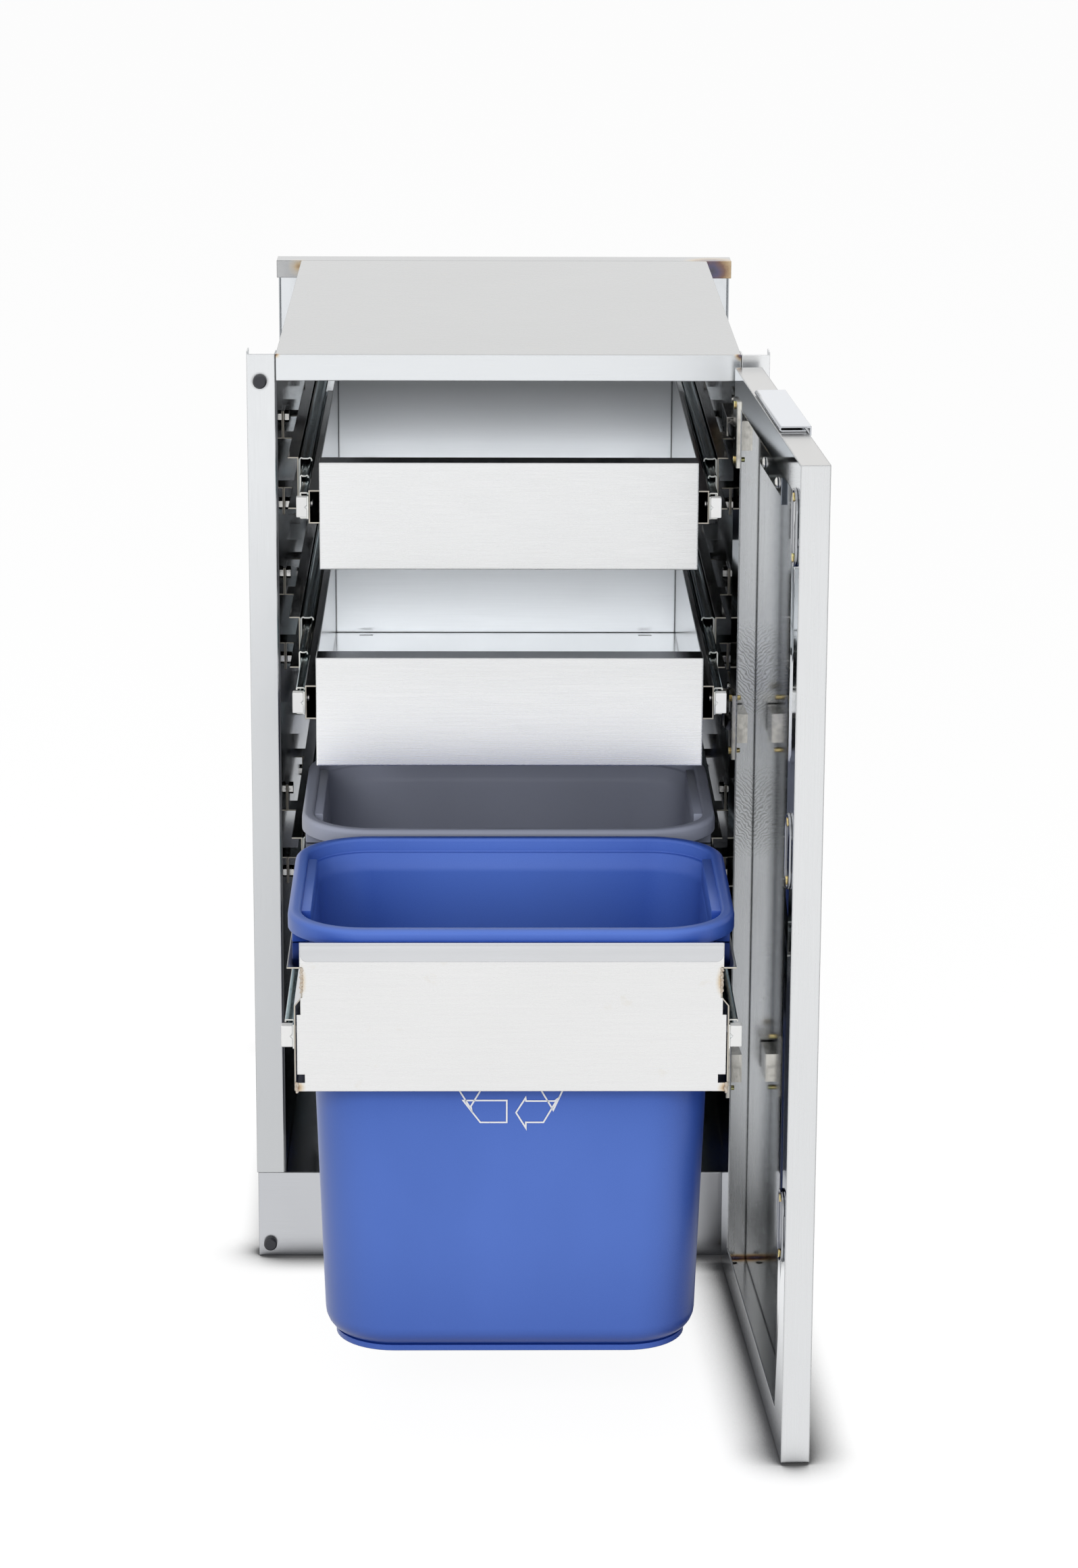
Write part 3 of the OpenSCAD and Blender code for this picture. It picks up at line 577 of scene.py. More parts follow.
class Finishes:
    """Every finish on the cabinet, each made once."""

    CUT = Side(FRONT, (0.58, 0.54, 0.47), 0.4)
    # The up-facing returns are painted dark, a painted reflection of the dark inside.
    SATIN = SheetSteel("satin_steel_front", (0.80, 0.805, 0.81), 0.27, cloud=0.015, bend=0.35, fold=0.0018,
                       sides=(Side(UP, (0.34, 0.34, 0.37), 0.10), Side(BACK, (0.80, 0.81, 0.83), 0.25)))
    # Painted light: the lower front grows lighter towards its bottom.
    SATIN_LOWER_LIT = replace(SATIN, name="satin_steel_lower_front", painted_fade=PaintedFade(0.606, 0.535, 1.17))
    CARRIER = SheetSteel("satin_steel_carrier", (0.80, 0.80, 0.80), 0.27, cloud=0.015, bend=0.2,
                         heat=(Heat((-0.1660, -0.493, 0.422), 0.0055, (1.0, 1.0, 0.36), 0.5),
                               Heat((0.1660, -0.493, 0.422), 0.0065, (1.0, 1.0, 0.36), 0.55),
                               Heat((-0.1697, -0.493, 0.333), 0.008, depth=0.6),
                               Heat((0.1697, -0.493, 0.333), 0.008, depth=0.6)))
    # The hem's up-facing roll is painted dark blue, a painted reflection of the blue bin.
    HEM = SheetSteel("hem_steel", (0.66, 0.67, 0.69), 0.2, cloud=0.03, bend=0.0,
                     sides=(Side(UP, (0.10, 0.12, 0.22), 0.1),))
    # The toe kick is the satin steel painted darker, a painted reflection of the shaded floor in front of
    # it.
    TOE_SHADED = SheetSteel("toe_steel_shaded", (0.57, 0.58, 0.605), 0.22, cloud=0.03, bend=0.5)
    # The stile darkens towards the floor as painted shade.
    STILE = SheetSteel("satin_steel_stile", (0.76, 0.775, 0.79), 0.25, Grain.UP, bend=0.6, crease=0.003,
                       painted_fade=PaintedFade(0.75, 0.15, 0.74))
    # A lighter copy of the stile steel, painted light on the right stile beside the door.
    STILE_RIGHT_LIT = replace(STILE, name="satin_steel_right_stile", colour=(0.92, 0.93, 0.94))
    # The top is satin steel painted darker as a painted reflection, and its front lip painted lighter.
    TOP_SHADED = SheetSteel("satin_steel_top_shaded", (0.58, 0.585, 0.583), 0.27, cloud=0.012, bend=0.5, crease=0.003,
                     sides=(Side(FRONT, (0.74, 0.76, 0.78), 0.22),),
                     heat=(Heat((-0.203, 0.0, 0.838), 0.005, depth=0.6),
                           Heat((0.203, 0.0, 0.838), 0.007, depth=0.8),
                           Heat((-0.203, 0.58, 0.838), 0.008, depth=0.4),
                           Heat((0.203, 0.58, 0.838), 0.008, depth=0.4)))
    REAR = SheetSteel("rear_steel", (0.47, 0.475, 0.48), 0.16, cloud=0.04, bend=0.7, crease=0.003,
                      heat=(Heat((-0.206, 0.58, 0.832), 0.012, depth=0.45),
                            Heat((0.208, 0.58, 0.828), 0.034, depth=0.9)))
    PANEL = SheetSteel("rear_panel_steel", (0.62, 0.64, 0.66), 0.08, Grain.UP, 0.01, 0.05, bend=0.3)
    # The polished steel inside the case is painted very dark as shade.
    INNER_SHADED = SheetSteel("polished_inner_steel_shaded", (0.115, 0.117, 0.125), 0.07, Grain.DEEP, 0.01, 0.06,
                       bend=0.0, sides=(CUT,))
    WALL_SHADED = SheetSteel("polished_wall_steel_shaded", (0.105, 0.107, 0.115), 0.06, Grain.UP, 0.01, 0.06, bend=0.0)
    MILL = SheetSteel("mill_steel", (0.93, 0.945, 0.96), 0.18, streak=0.015, crease=0.002)
    MILL_BACK = SheetSteel("mill_steel_back", (0.90, 0.93, 0.96), 0.33, streak=0.015, crease=0.002)
    # Painted shade: the upper drawer's back darkens towards its top, under the top's lip.
    MILL_BACK_UPPER_SHADED = replace(MILL_BACK, name="mill_steel_upper_back_shaded", painted_fade=PaintedFade(0.688, 0.745, 0.42))
    CHANNEL = SheetSteel("channel_steel", (0.16, 0.16, 0.17), 0.12, Grain.DEEP, 0.01, 0.05, bend=0.0,
                         sides=(CUT,))
    SIDE = SheetSteel("side_steel", (0.42, 0.43, 0.46), 0.09, Grain.DEEP, 0.01, 0.05, bend=0.0,
                      sides=(CUT,))
    HANDLE = SheetSteel("handle_steel", (0.74, 0.765, 0.81), 0.14, streak=0.01, bend=0.7)
    BRACKET = SheetSteel("bracket_steel", (0.30, 0.33, 0.38), 0.12, streak=0.01, cloud=0.06, bend=0.2,
                         crease=0.004)
    COVER = SheetSteel("cover_steel", (0.42, 0.43, 0.45), 0.06, Grain.UP, 0.01, 0.05, bend=0.5)
    ZINC = PlatedSteel("zinc_plate", ((0.05, 0.055, 0.06), (0.12, 0.17, 0.18), (0.30, 0.42, 0.44),
                                      (0.14, 0.22, 0.28), (0.26, 0.24, 0.17), (0.07, 0.08, 0.09)), 0.16,
                       edge=(0.90, 0.90, 0.86))
    NICKEL = PlatedSteel("nickel_plate", ((0.42, 0.40, 0.36), (0.66, 0.64, 0.59), (0.5, 0.48, 0.44)), 0.15,
                         (60.0, 60.0, 12.0))
    ARM = PlatedSteel("dark_nickel_plate", ((0.08, 0.08, 0.08), (0.16, 0.155, 0.15), (0.4, 0.39, 0.36)),
                      0.15, (60.0, 60.0, 60.0))
    BOLT = PlatedSteel("bolt_plate", ((0.62, 0.61, 0.59), (0.86, 0.85, 0.82)), 0.22, (90.0, 90.0, 90.0))
    BALL = PlatedSteel("ball_steel", ((0.5, 0.52, 0.53), (0.8, 0.82, 0.82)), 0.12, (90.0, 90.0, 90.0))
    BEAD = PlatedSteel("weld_bead", ((0.30, 0.22, 0.14), (0.62, 0.57, 0.50), (0.45, 0.36, 0.28),
                                     (0.72, 0.70, 0.66)), 0.28, (420.0, 420.0, 420.0))
    BRASS = PlatedSteel("yellow_plate", ((0.50, 0.52, 0.24), (0.78, 0.62, 0.30), (0.60, 0.44, 0.18)), 0.18,
                        (140.0, 140.0, 140.0))
    RUBBER = Plastic("black_rubber", (0.035, 0.036, 0.042), (0.12, 0.12, 0.13), 0.4)
    WHITE = Plastic("white_polymer", (0.90, 0.90, 0.89), (0.72, 0.72, 0.71), 0.34)
    # The hollow shades paint shade inside the bins, where their walls stand close.
    BLUE = Plastic("blue_plastic", (0.090, 0.184, 0.61), (0.27, 0.36, 0.64), 0.36,
                   hollow_shade=(0.016, 0.060, 0.34))
    GREY = Plastic("grey_plastic", (0.46, 0.49, 0.61), (0.62, 0.64, 0.70), 0.36,
                   hollow_shade=(0.29, 0.31, 0.39))
    INK = Ink("white_ink", (0.86, 0.87, 0.9), (0.1, 0.17, 0.5))

    _made: dict[str, bpy.types.Material] = {}

    @classmethod
    def of(cls, finish: Finish) -> bpy.types.Material:
        """Gives a finish's material, which is made when it is first asked for.

        Args:
            finish: The finish.

        Returns:
            Its material.
        """
        if finish.name not in cls._made:
            cls._made[finish.name] = finish.material()
        return cls._made[finish.name]


# Making and dressing pieces

class Bend(Enum):
    """How far the bends and cut edges of a kind of piece are rounded, in metres."""

    NONE = 0.0
    CUT = 0.0004
    THIN = 0.0005
    SHEET = 0.0006
    HOLLOW = 0.0008
    PRESSED = 0.0009
    FOLDED = 0.0016


def stand(name: str, data: bpy.types.ID) -> bpy.types.Object:
    """Puts a new object into the scene.

    Args:
        name: Its name.
        data: Its mesh, light or camera.

    Returns:
        The object.
    """
    made = bpy.data.objects.new(name, data)
    bpy.context.scene.collection.objects.link(made)
    return made


def only(kind: type[Kind], geom: Iterable[object]) -> list[Kind]:
    """Picks the vertices, the edges or the faces out of what an operator made."""
    return [item for item in geom if isinstance(item, kind)]


def soften(mesh: bmesh.types.BMesh, geom: Iterable[object], offset: float, segments: int,
           affect: str = "EDGES", clamp: bool = False) -> None:
    """Rounds edges or corners.

    Args:
        mesh: The bmesh that they belong to.
        geom: The edges, or the vertices of the corners.
        offset: Width of the rounding.
        segments: Steps of the rounding.
        affect: EDGES or VERTICES.
        clamp: Whether the rounding stays clear of its neighbours.
    """
    bmesh.ops.bevel(mesh, geom=list(geom), offset=offset, offset_type="OFFSET", segments=segments,
                    profile=0.5, affect=affect, material=-1, clamp_overlap=clamp)


def block(mesh: bmesh.types.BMesh, size: Point, place: Point, soft: float) -> None:
    """Adds a box with softened edges.

    Args:
        mesh: The bmesh that gets it.
        size: Its size along each axis.
        place: Its middle.
        soft: Width of its edges' rounding.
    """
    verts = bmesh.ops.create_cube(mesh, size=1.0)["verts"]
    bmesh.ops.scale(mesh, vec=size, verts=verts)
    bmesh.ops.translate(mesh, vec=place, verts=verts)
    soften(mesh, {e for v in verts for e in v.link_edges}, soft, 2)


def turned(degrees: float, axis: str) -> Matrix:
    """Gives a rotation about an axis through the origin."""
    return Matrix.Rotation(math.radians(degrees), 3, axis)


class Workshop:
    """Turns bmeshes into pieces and dresses the frame's own nodes."""

    TOUCHING: ClassVar[float] = 0.00002
    FLAT: ClassVar[float] = math.radians(1.0)
    SHARP: ClassVar[float] = math.radians(50.0)

    @staticmethod
    def dress(node: str, finish: Finish, bend: Bend = Bend.CUT) -> None:
        """Gives a node its finish, and rounds its bends and cut edges.

        Args:
            node: The node's name.
            finish: Its finish.
            bend: How far its bends are rounded.
        """
        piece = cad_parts[node]
        material = Finishes.of(finish)
        if not piece.data.materials:
            piece.data.materials.append(material)
        for slot in piece.material_slots:
            slot.material = material
        weld = piece.modifiers.new("weld", "WELD")
        weld.merge_threshold = Workshop.TOUCHING
        if bend is not Bend.NONE:
            flat = piece.modifiers.new("flat", "DECIMATE")
            flat.decimate_type = "DISSOLVE"
            flat.angle_limit = Workshop.FLAT
            soft = piece.modifiers.new("bend", "BEVEL")
            soft.width = bend.value
            soft.segments = 3
            soft.limit_method = "ANGLE"
            soft.angle_limit = Workshop.SHARP

    @staticmethod
    def piece(name: str, mesh: bmesh.types.BMesh, finish: Finish, slot: str, body: str,
              stands_for: Sequence[str] = (), crease: float = 38.0) -> None:
        """Makes a piece from a bmesh, finishes it and lets it ride.

        Args:
            name: The piece's name.
            mesh: Its shape, which is freed here.
            finish: Its finish.
            slot: Not used.
            body: The body that it rides on.
            stands_for: Nodes that it replaces.
            crease: Angle in degrees past which an edge stays sharp.
        """
        limit = math.radians(crease)
        for face in mesh.faces:
            face.smooth = True
        for edge in mesh.edges:
            edge.smooth = not (len(edge.link_faces) == 2 and edge.calc_face_angle(0.0) > limit)
        data = bpy.data.meshes.new(name)
        mesh.to_mesh(data)
        mesh.free()
        data.materials.append(Finishes.of(finish))
        made = stand(name, data)
        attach(made, body)
        if stands_for:
            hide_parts(*stands_for)
        LOG.info("piece %s: %d faces, rides on %s", name, len(data.polygons), body)


class Loft:
    """A wall that grows level by level from a rounded rectangle."""

    def __init__(self, mesh: bmesh.types.BMesh, half: tuple[float, float], radius: float,
                 middle: float, height: float, steps: int = 12) -> None:
        """Draws the first level, with a face across it.

        Args:
            mesh: The bmesh that gets the wall.
            half: Half its width and depth.
            radius: Radius of its corners.
            middle: Place of its middle along Y.
            height: Height of the level.
            steps: Segments in a corner.
        """
        self.mesh, self.half, self.radius, self.middle, self.height = mesh, half, radius, middle, height
        made = bmesh.ops.create_grid(mesh, x_segments=1, y_segments=1, size=1.0)
        bmesh.ops.scale(mesh, vec=(half[0], half[1], 1.0), verts=made["verts"])
        bmesh.ops.translate(mesh, vec=(0.0, middle, height), verts=made["verts"])
        soften(mesh, made["verts"], radius, steps, "VERTICES")
        self.edges = list(mesh.faces[:][-1].edges)

    def grow(self, half: tuple[float, float], radius: float, height: float) -> list[bmesh.types.BMEdge]:
        """Draws the wall out to a new level.

        Args:
            half: Half the level's width and depth.
            radius: Radius of its corners.
            height: Its height.

        Returns:
            The edges of the level.
        """
        made = bmesh.ops.extrude_edge_only(self.mesh, edges=self.edges)["geom"]
        verts = only(bmesh.types.BMVert, made)
        self.edges = [e for e in only(bmesh.types.BMEdge, made) if all(v in verts for v in e.verts)]
        ratio = radius / self.radius
        for x_side in (-1, 1):
            for y_side in (-1, 1):
                corner = [v for v in verts
                          if v.co.x * x_side > 0 and (v.co.y - self.middle) * y_side > 0]
                old = Vector((x_side * (self.half[0] - self.radius),
                              self.middle + y_side * (self.half[1] - self.radius), self.height))
                new = Vector((x_side * (half[0] - radius), self.middle + y_side * (half[1] - radius),
                              height))
                bmesh.ops.scale(self.mesh, vec=(ratio, ratio, 1.0), space=Matrix.Translation(-old),
                                verts=corner)
                bmesh.ops.translate(self.mesh, vec=new - old, verts=corner)
        self.half, self.radius, self.height = half, radius, height
        return self.edges

    def close(self) -> None:
        """Fills the last level and turns every face outwards."""
        bmesh.ops.edgeloop_fill(self.mesh, edges=self.edges)
        bmesh.ops.recalc_face_normals(self.mesh, faces=self.mesh.faces[:])


class Pen:
    """Draws the outer line of a rolled sheet's section in the XZ plane, and sweeps it along Y."""

    def __init__(self, mesh: bmesh.types.BMesh, x: float, z: float, side: int = 1) -> None:
        """Sets the pen down.

        Args:
            mesh: The bmesh that gets the sheet.
            x: Where the line starts along X, measured to the right.
            z: Where it starts along Z.
            side: 1 for the right side, -1 for its mirror image.
        """
        self.mesh, self.side = mesh, side
        self.before = set(mesh.edges)
        self.tip = bmesh.ops.create_vert(mesh, co=(side * x, 0.0, z))["vert"][0]

    def line(self, x: float, z: float) -> None:
        """Draws a straight line to a point."""
        self.tip = bmesh.ops.extrude_vert_indiv(self.mesh, verts=[self.tip])["verts"][0]
        bmesh.ops.translate(self.mesh, vec=Vector((self.side * x, 0.0, z)) - self.tip.co, verts=[self.tip])

    def arc(self, x: float, z: float, turn: float, steps: int = 4) -> None:
        """Draws an arc.

        Args:
            x: The centre along X.
            z: The centre along Z.
            turn: Angle in degrees, clockwise as seen from the front on the right side.
            steps: Edges in the arc.
        """
        made = bmesh.ops.spin(self.mesh, geom=[self.tip], cent=(self.side * x, 0.0, z),
                              axis=BACK, dvec=NOWHERE, angle=math.radians(turn) * self.side,
                              steps=steps, use_merge=False, use_duplicate=False)
        self.tip = only(bmesh.types.BMVert, made["geom_last"])[0]

    def sweep(self, start: float, end: float, sheet: float = 0.0) -> None:
        """Sweeps the line along Y and gives it the sheet's thickness on its inner side.

        Args:
            start: Where the sheet starts along Y.
            end: Where it ends.
            sheet: Its thickness, or 0 to leave it thin.
        """
        edges = [e for e in self.mesh.edges if e not in self.before]
        old = {v for e in edges for v in e.verts}
        made = bmesh.ops.extrude_edge_only(self.mesh, edges=edges)["geom"]
        faces = only(bmesh.types.BMFace, made)
        bmesh.ops.translate(self.mesh, vec=(0.0, start, 0.0), verts=list(old))
        bmesh.ops.translate(self.mesh, vec=(0.0, end, 0.0), verts=only(bmesh.types.BMVert, made))
        bmesh.ops.recalc_face_normals(self.mesh, faces=faces)
        if sheet:
            bmesh.ops.solidify(self.mesh, geom=faces, thickness=sheet)
            bmesh.ops.recalc_face_normals(self.mesh, faces=self.mesh.faces[:])


# Sub-assemblies

@dataclass
class Case:
    """The steel shell with its stiles, top, rear frame and door bumpers."""

    OUTER: ClassVar[Colour] = (0.60, 0.615, 0.63)
    OUTER_ROUGH: ClassVar[float] = 0.2

    walls: tuple[tuple[str, float], ...] = (("left_side_wall", -1.0), ("right_side_wall", 1.0))

    def dress(self) -> None:
        """Finishes every sheet of the shell."""
        Workshop.dress("top_panel", Finishes.TOP_SHADED, Bend.PRESSED)
        Workshop.dress("toe_kick", Finishes.TOE_SHADED, Bend.SHEET)
        Workshop.dress("rear_rail", Finishes.REAR, Bend.SHEET)
        Workshop.dress("left_stile", Finishes.STILE, Bend.SHEET)
        Workshop.dress("right_stile", Finishes.STILE_RIGHT_LIT, Bend.SHEET)
        Workshop.dress("floor_pan", Finishes.INNER_SHADED)
        Workshop.dress("rear_panel", Finishes.PANEL)
        # The walls' polished inside is painted very dark as shade; their outer side keeps the plain steel
        # colour OUTER.
        for node, side in self.walls:
            outside = Side((side, 0.0, 0.0), self.OUTER, self.OUTER_ROUGH)
            Workshop.dress(node, replace(Finishes.WALL_SHADED, name=node + "_steel", sides=(outside,)))
        Workshop.dress("door_bumpers", Finishes.RUBBER, Bend.SHEET)


@dataclass(frozen=True)
class Section:
    """The section of a member that opens towards the drawer, in metres.

    Its near and far sides are measured from the face of the drawer's side. The hook is the depth of its
    lips, and the dip is the step by which its top and foot are pressed in between their bends.
    """

    near: float
    far: float
    half: float
    hook: float
    bend: float
    dip: float = 0.0006
    dip_start: float = 0.0012
    dip_end: float = 0.0008


@dataclass(frozen=True)
class Slide:
    """One level's pair of ball-bearing slides, with rolled members.

    The face is the drawer's side, where the inner member lies, and the tongue is the flat front end of
    that member. The outer and the middle member have a section each.
    """

    level: str
    carried: str
    body: str
    face: float = 0.1717
    sheet: float = 0.0012
    tongue: float = 0.0095
    tongue_lap: float = 0.0005
    tongue_inset: float = 0.0015
    tongue_soft: float = 0.0003
    inner_half: float = 0.0115
    inner_reach: float = 0.0078
    inner_bend: float = 0.0018
    inner_curl: float = 0.0012
    inner_lip: float = 0.0024
    outer: Section = Section(0.0009, 0.0127, 0.021, 0.0034, 0.0026)
    middle: Section = Section(0.0019, 0.0099, 0.016, 0.0028, 0.0019)

    def build(self) -> None:
        """Rolls the three members of the slide and lets each ride on its body."""
        self.member(f"{self.level}_cabinet_members", "case", self.outer)
        self.member(f"{self.level}_mid_members", f"{self.level}_slide_middle", self.middle)
        self.inner_member()

    def member(self, node: str, body: str, section: Section) -> None:
        """Rolls a member that opens towards the drawer, with hooked raceways for the balls.

        Args:
            node: The node that it stands for.
            body: The body that it rides on.
            section: Its section.
        """
        low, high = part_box(node)
        middle = (low[2] + high[2]) / 2
        top, foot = middle + section.half, middle - section.half
        near, far, bend = self.face + section.near, self.face + section.far, section.bend
        start, end = near + bend + section.dip_start, far - bend - section.dip_end
        mesh = bmesh.new()
        for side in (-1, 1):
            pen = Pen(mesh, near, top - section.hook, side)
            pen.line(near, top - bend)
            pen.arc(near + bend, top - bend, 90.0, 5)
            pen.line(start, top - section.dip)
            pen.line(end, top - section.dip)
            pen.line(far - bend, top)
            pen.arc(far - bend, top - bend, 90.0, 5)
            pen.line(far, foot + bend)
            pen.arc(far - bend, foot + bend, 90.0, 5)
            pen.line(end, foot + section.dip)
            pen.line(start, foot + section.dip)
            pen.line(near + bend, foot)
            pen.arc(near + bend, foot + bend, 90.0, 5)
            pen.line(near, foot + section.hook)
            pen.sweep(low[1], high[1], self.sheet)
        Workshop.piece(node + "_rolled", mesh, Finishes.ZINC, "zinc_slide", body, (node,), 30.0)

    def inner_member(self) -> None:
        """Rolls the member on the drawer's side, whose lips curl over, with its flat tongue."""
        low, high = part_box(self.carried)
        middle = (low[2] + high[2]) / 2
        top, foot = middle + self.inner_half, middle - self.inner_half
        web, lip, bend, curl = self.face, self.face + self.inner_reach, self.inner_bend, self.inner_curl
        tongue = (self.sheet, self.tongue + 2 * self.tongue_lap, top - foot - 2 * self.tongue_inset)
        mesh = bmesh.new()
        for side in (-1, 1):
            pen = Pen(mesh, lip, top - self.inner_lip, side)
            pen.line(lip, top - curl)
            pen.arc(lip - curl, top - curl, -90.0)
            pen.line(web + bend, top)
            pen.arc(web + bend, top - bend, -90.0)
            pen.line(web, foot + bend)
            pen.arc(web + bend, foot + bend, -90.0)
            pen.line(lip - curl, foot)
            pen.arc(lip - curl, foot + curl, -90.0)
            pen.line(lip, foot + self.inner_lip)
            pen.sweep(low[1] + self.tongue, high[1], self.sheet)
            place = (side * (web + self.sheet / 2), low[1] + self.tongue / 2 + self.tongue_lap, middle)
            block(mesh, tongue, place, self.tongue_soft)
        Workshop.piece(self.carried + "_rolled", mesh, Finishes.ZINC, "zinc_slide", self.body,
                       (self.carried,), 30.0)


@dataclass
class Runners:
    """The rails bolted in the case and the ball-bearing slides on them."""

    slides: tuple[Slide, ...] = (Slide("upper", "upper_drawer_members", "upper_drawer"),
                                 Slide("middle", "lower_drawer_members", "lower_drawer"),
                                 Slide("lower", "carrier_members", "bin_carrier"))

    def dress(self) -> None:
        """Finishes the rails, bolts and balls, and rolls the slides' members."""
        for slide in self.slides:
            for side in ("left", "right"):
                Workshop.dress(f"{slide.level}_{side}_rail", Finishes.INNER_SHADED)
            Workshop.dress(f"{slide.level}_ball_cages", Finishes.BALL, Bend.NONE)
            Workshop.dress(f"{slide.level}_end_blocks", Finishes.WHITE, Bend.HOLLOW)
            slide.build()
        Workshop.dress("rail_bolts", Finishes.BOLT)


@dataclass
class Hinges:
    """Mount plates, arms and cups of the three concealed hinges."""

    def dress(self) -> None:
        """Finishes the hinges, their covers and screws."""
        for node in ("hinge_mount_plates", "hinge_cups"):
            Workshop.dress(node, Finishes.NICKEL, Bend.PRESSED)
        Workshop.dress("cover_plates", Finishes.COVER, Bend.PRESSED)
        Workshop.dress("hinge_arms", Finishes.ARM, Bend.PRESSED)
        Workshop.dress("hinge_mount_screws", Finishes.BOLT)
        for node in ("hinge_cup_screws", "cover_screws"):
            Workshop.dress(node, Finishes.BRASS, Bend.THIN)


@dataclass
class Door:
    """The hollow door with its pull handle and bracket."""

    INWARDS: ClassVar[Point] = (-1.0, 0.0, 0.0)

    axis: tuple[float, float] = (0.2185, -0.027)
    turn: float = 93.0
    corner: Point = (0.2268, -0.0177, 0.0042)
    touched: tuple[Point, ...] = ((0.2268, -0.0177, 0.560), (0.2268, -0.0177, 0.430),
                                  (0.190, -0.0283, 0.545))
    hand: float = 0.05

    def opened(self, point: Point) -> Point:
        """Turns a point of the closed door to where it stands open."""
        axis = Vector((*self.axis, 0.0))
        return tuple(axis + turned(self.turn, "Z") @ (Vector(point) - axis))

    def finish(self) -> SheetSteel:
        """Gives the door's steel: satin outside, polished inside, painted shade on up-facing faces, one weld
        and finger marks.

        Returns:
            The finish.
        """
        return SheetSteel(
            "door_steel", (0.73, 0.74, 0.75), 0.26, Grain.UP, bend=0.75, crease=0.002, fold=0.002,
            # The up-facing side is painted darker as shade.
            sides=(Side(UP, (0.58, 0.575, 0.565), 0.2), Side(self.INWARDS, (0.74, 0.765, 0.79), 0.06)),
            heat=(Heat(self.opened(self.corner), 0.010, (0.3, 1.0, 1.6), 0.8),),
            smears=tuple(Smear(self.opened(p), self.hand) for p in self.touched))

    def dress(self) -> None:
        """Finishes the door's pan, handle and bracket."""
        Workshop.dress("door_shell", self.finish(), Bend.HOLLOW)
        Workshop.dress("door_handle", Finishes.HANDLE, Bend.SHEET)
        Workshop.dress("handle_bracket", Finishes.BRACKET)
        Workshop.dress("bracket_screws", Finishes.BOLT, Bend.PRESSED)


@dataclass
class Drawer:
    """A drawer's front, tray, back and channels."""

    level: str
    front: SheetSteel
    back: SheetSteel

    def dress(self) -> None:
        """Finishes the drawer's sheets and screws."""
        Workshop.dress(f"{self.level}_drawer_front", self.front, Bend.FOLDED)
        Workshop.dress(f"{self.level}_drawer_tray", Finishes.MILL, Bend.THIN)
        Workshop.dress(f"{self.level}_drawer_back", self.back, Bend.THIN)
        Workshop.dress(f"{self.level}_drawer_channels", Finishes.CHANNEL)
        Workshop.dress(f"{self.level}_drawer_screws", Finishes.BOLT, Bend.THIN)


@dataclass(frozen=True)
class Bead:
    """A weld bead of overlapping ripples.

    The pitch, the swell and the sway are shares of its size, and the turns are the angles in radians
    that each ripple adds.
    """

    name: str
    start: Point
    end: Point
    size: float
    body: str
    pitch: float = 0.8
    swell: float = 0.2
    swell_turn: float = 2.4
    sway: float = 0.25
    sway_turn: float = 1.7
    roll: float = 0.5
    squash: Point = (1.0, 0.5, 0.75)

    def build(self) -> None:
        """Lays the ripples from start to end."""
        mesh = bmesh.new()
        run = Vector(self.end) - Vector(self.start)
        count = max(2, round(run.length / (self.size * self.pitch)))
        for step in range(count + 1):
            radius = self.size * (1.0 + self.swell * math.sin(step * self.swell_turn))
            verts = bmesh.ops.create_icosphere(mesh, subdivisions=2, radius=radius)["verts"]
            sway = Vector((self.size * self.sway * math.sin(step * self.sway_turn), 0.0, 0.0))
            bmesh.ops.scale(mesh, vec=self.squash, verts=verts)
            bmesh.ops.rotate(mesh, cent=NOWHERE, matrix=Matrix.Rotation(self.roll * step, 3, "Y"),
                             verts=verts)
            bmesh.ops.translate(mesh, vec=Vector(self.start) + run * (step / count) + sway, verts=verts)
        Workshop.piece(self.name, mesh, Finishes.BEAD, "stainless", self.body, (), 80.0)


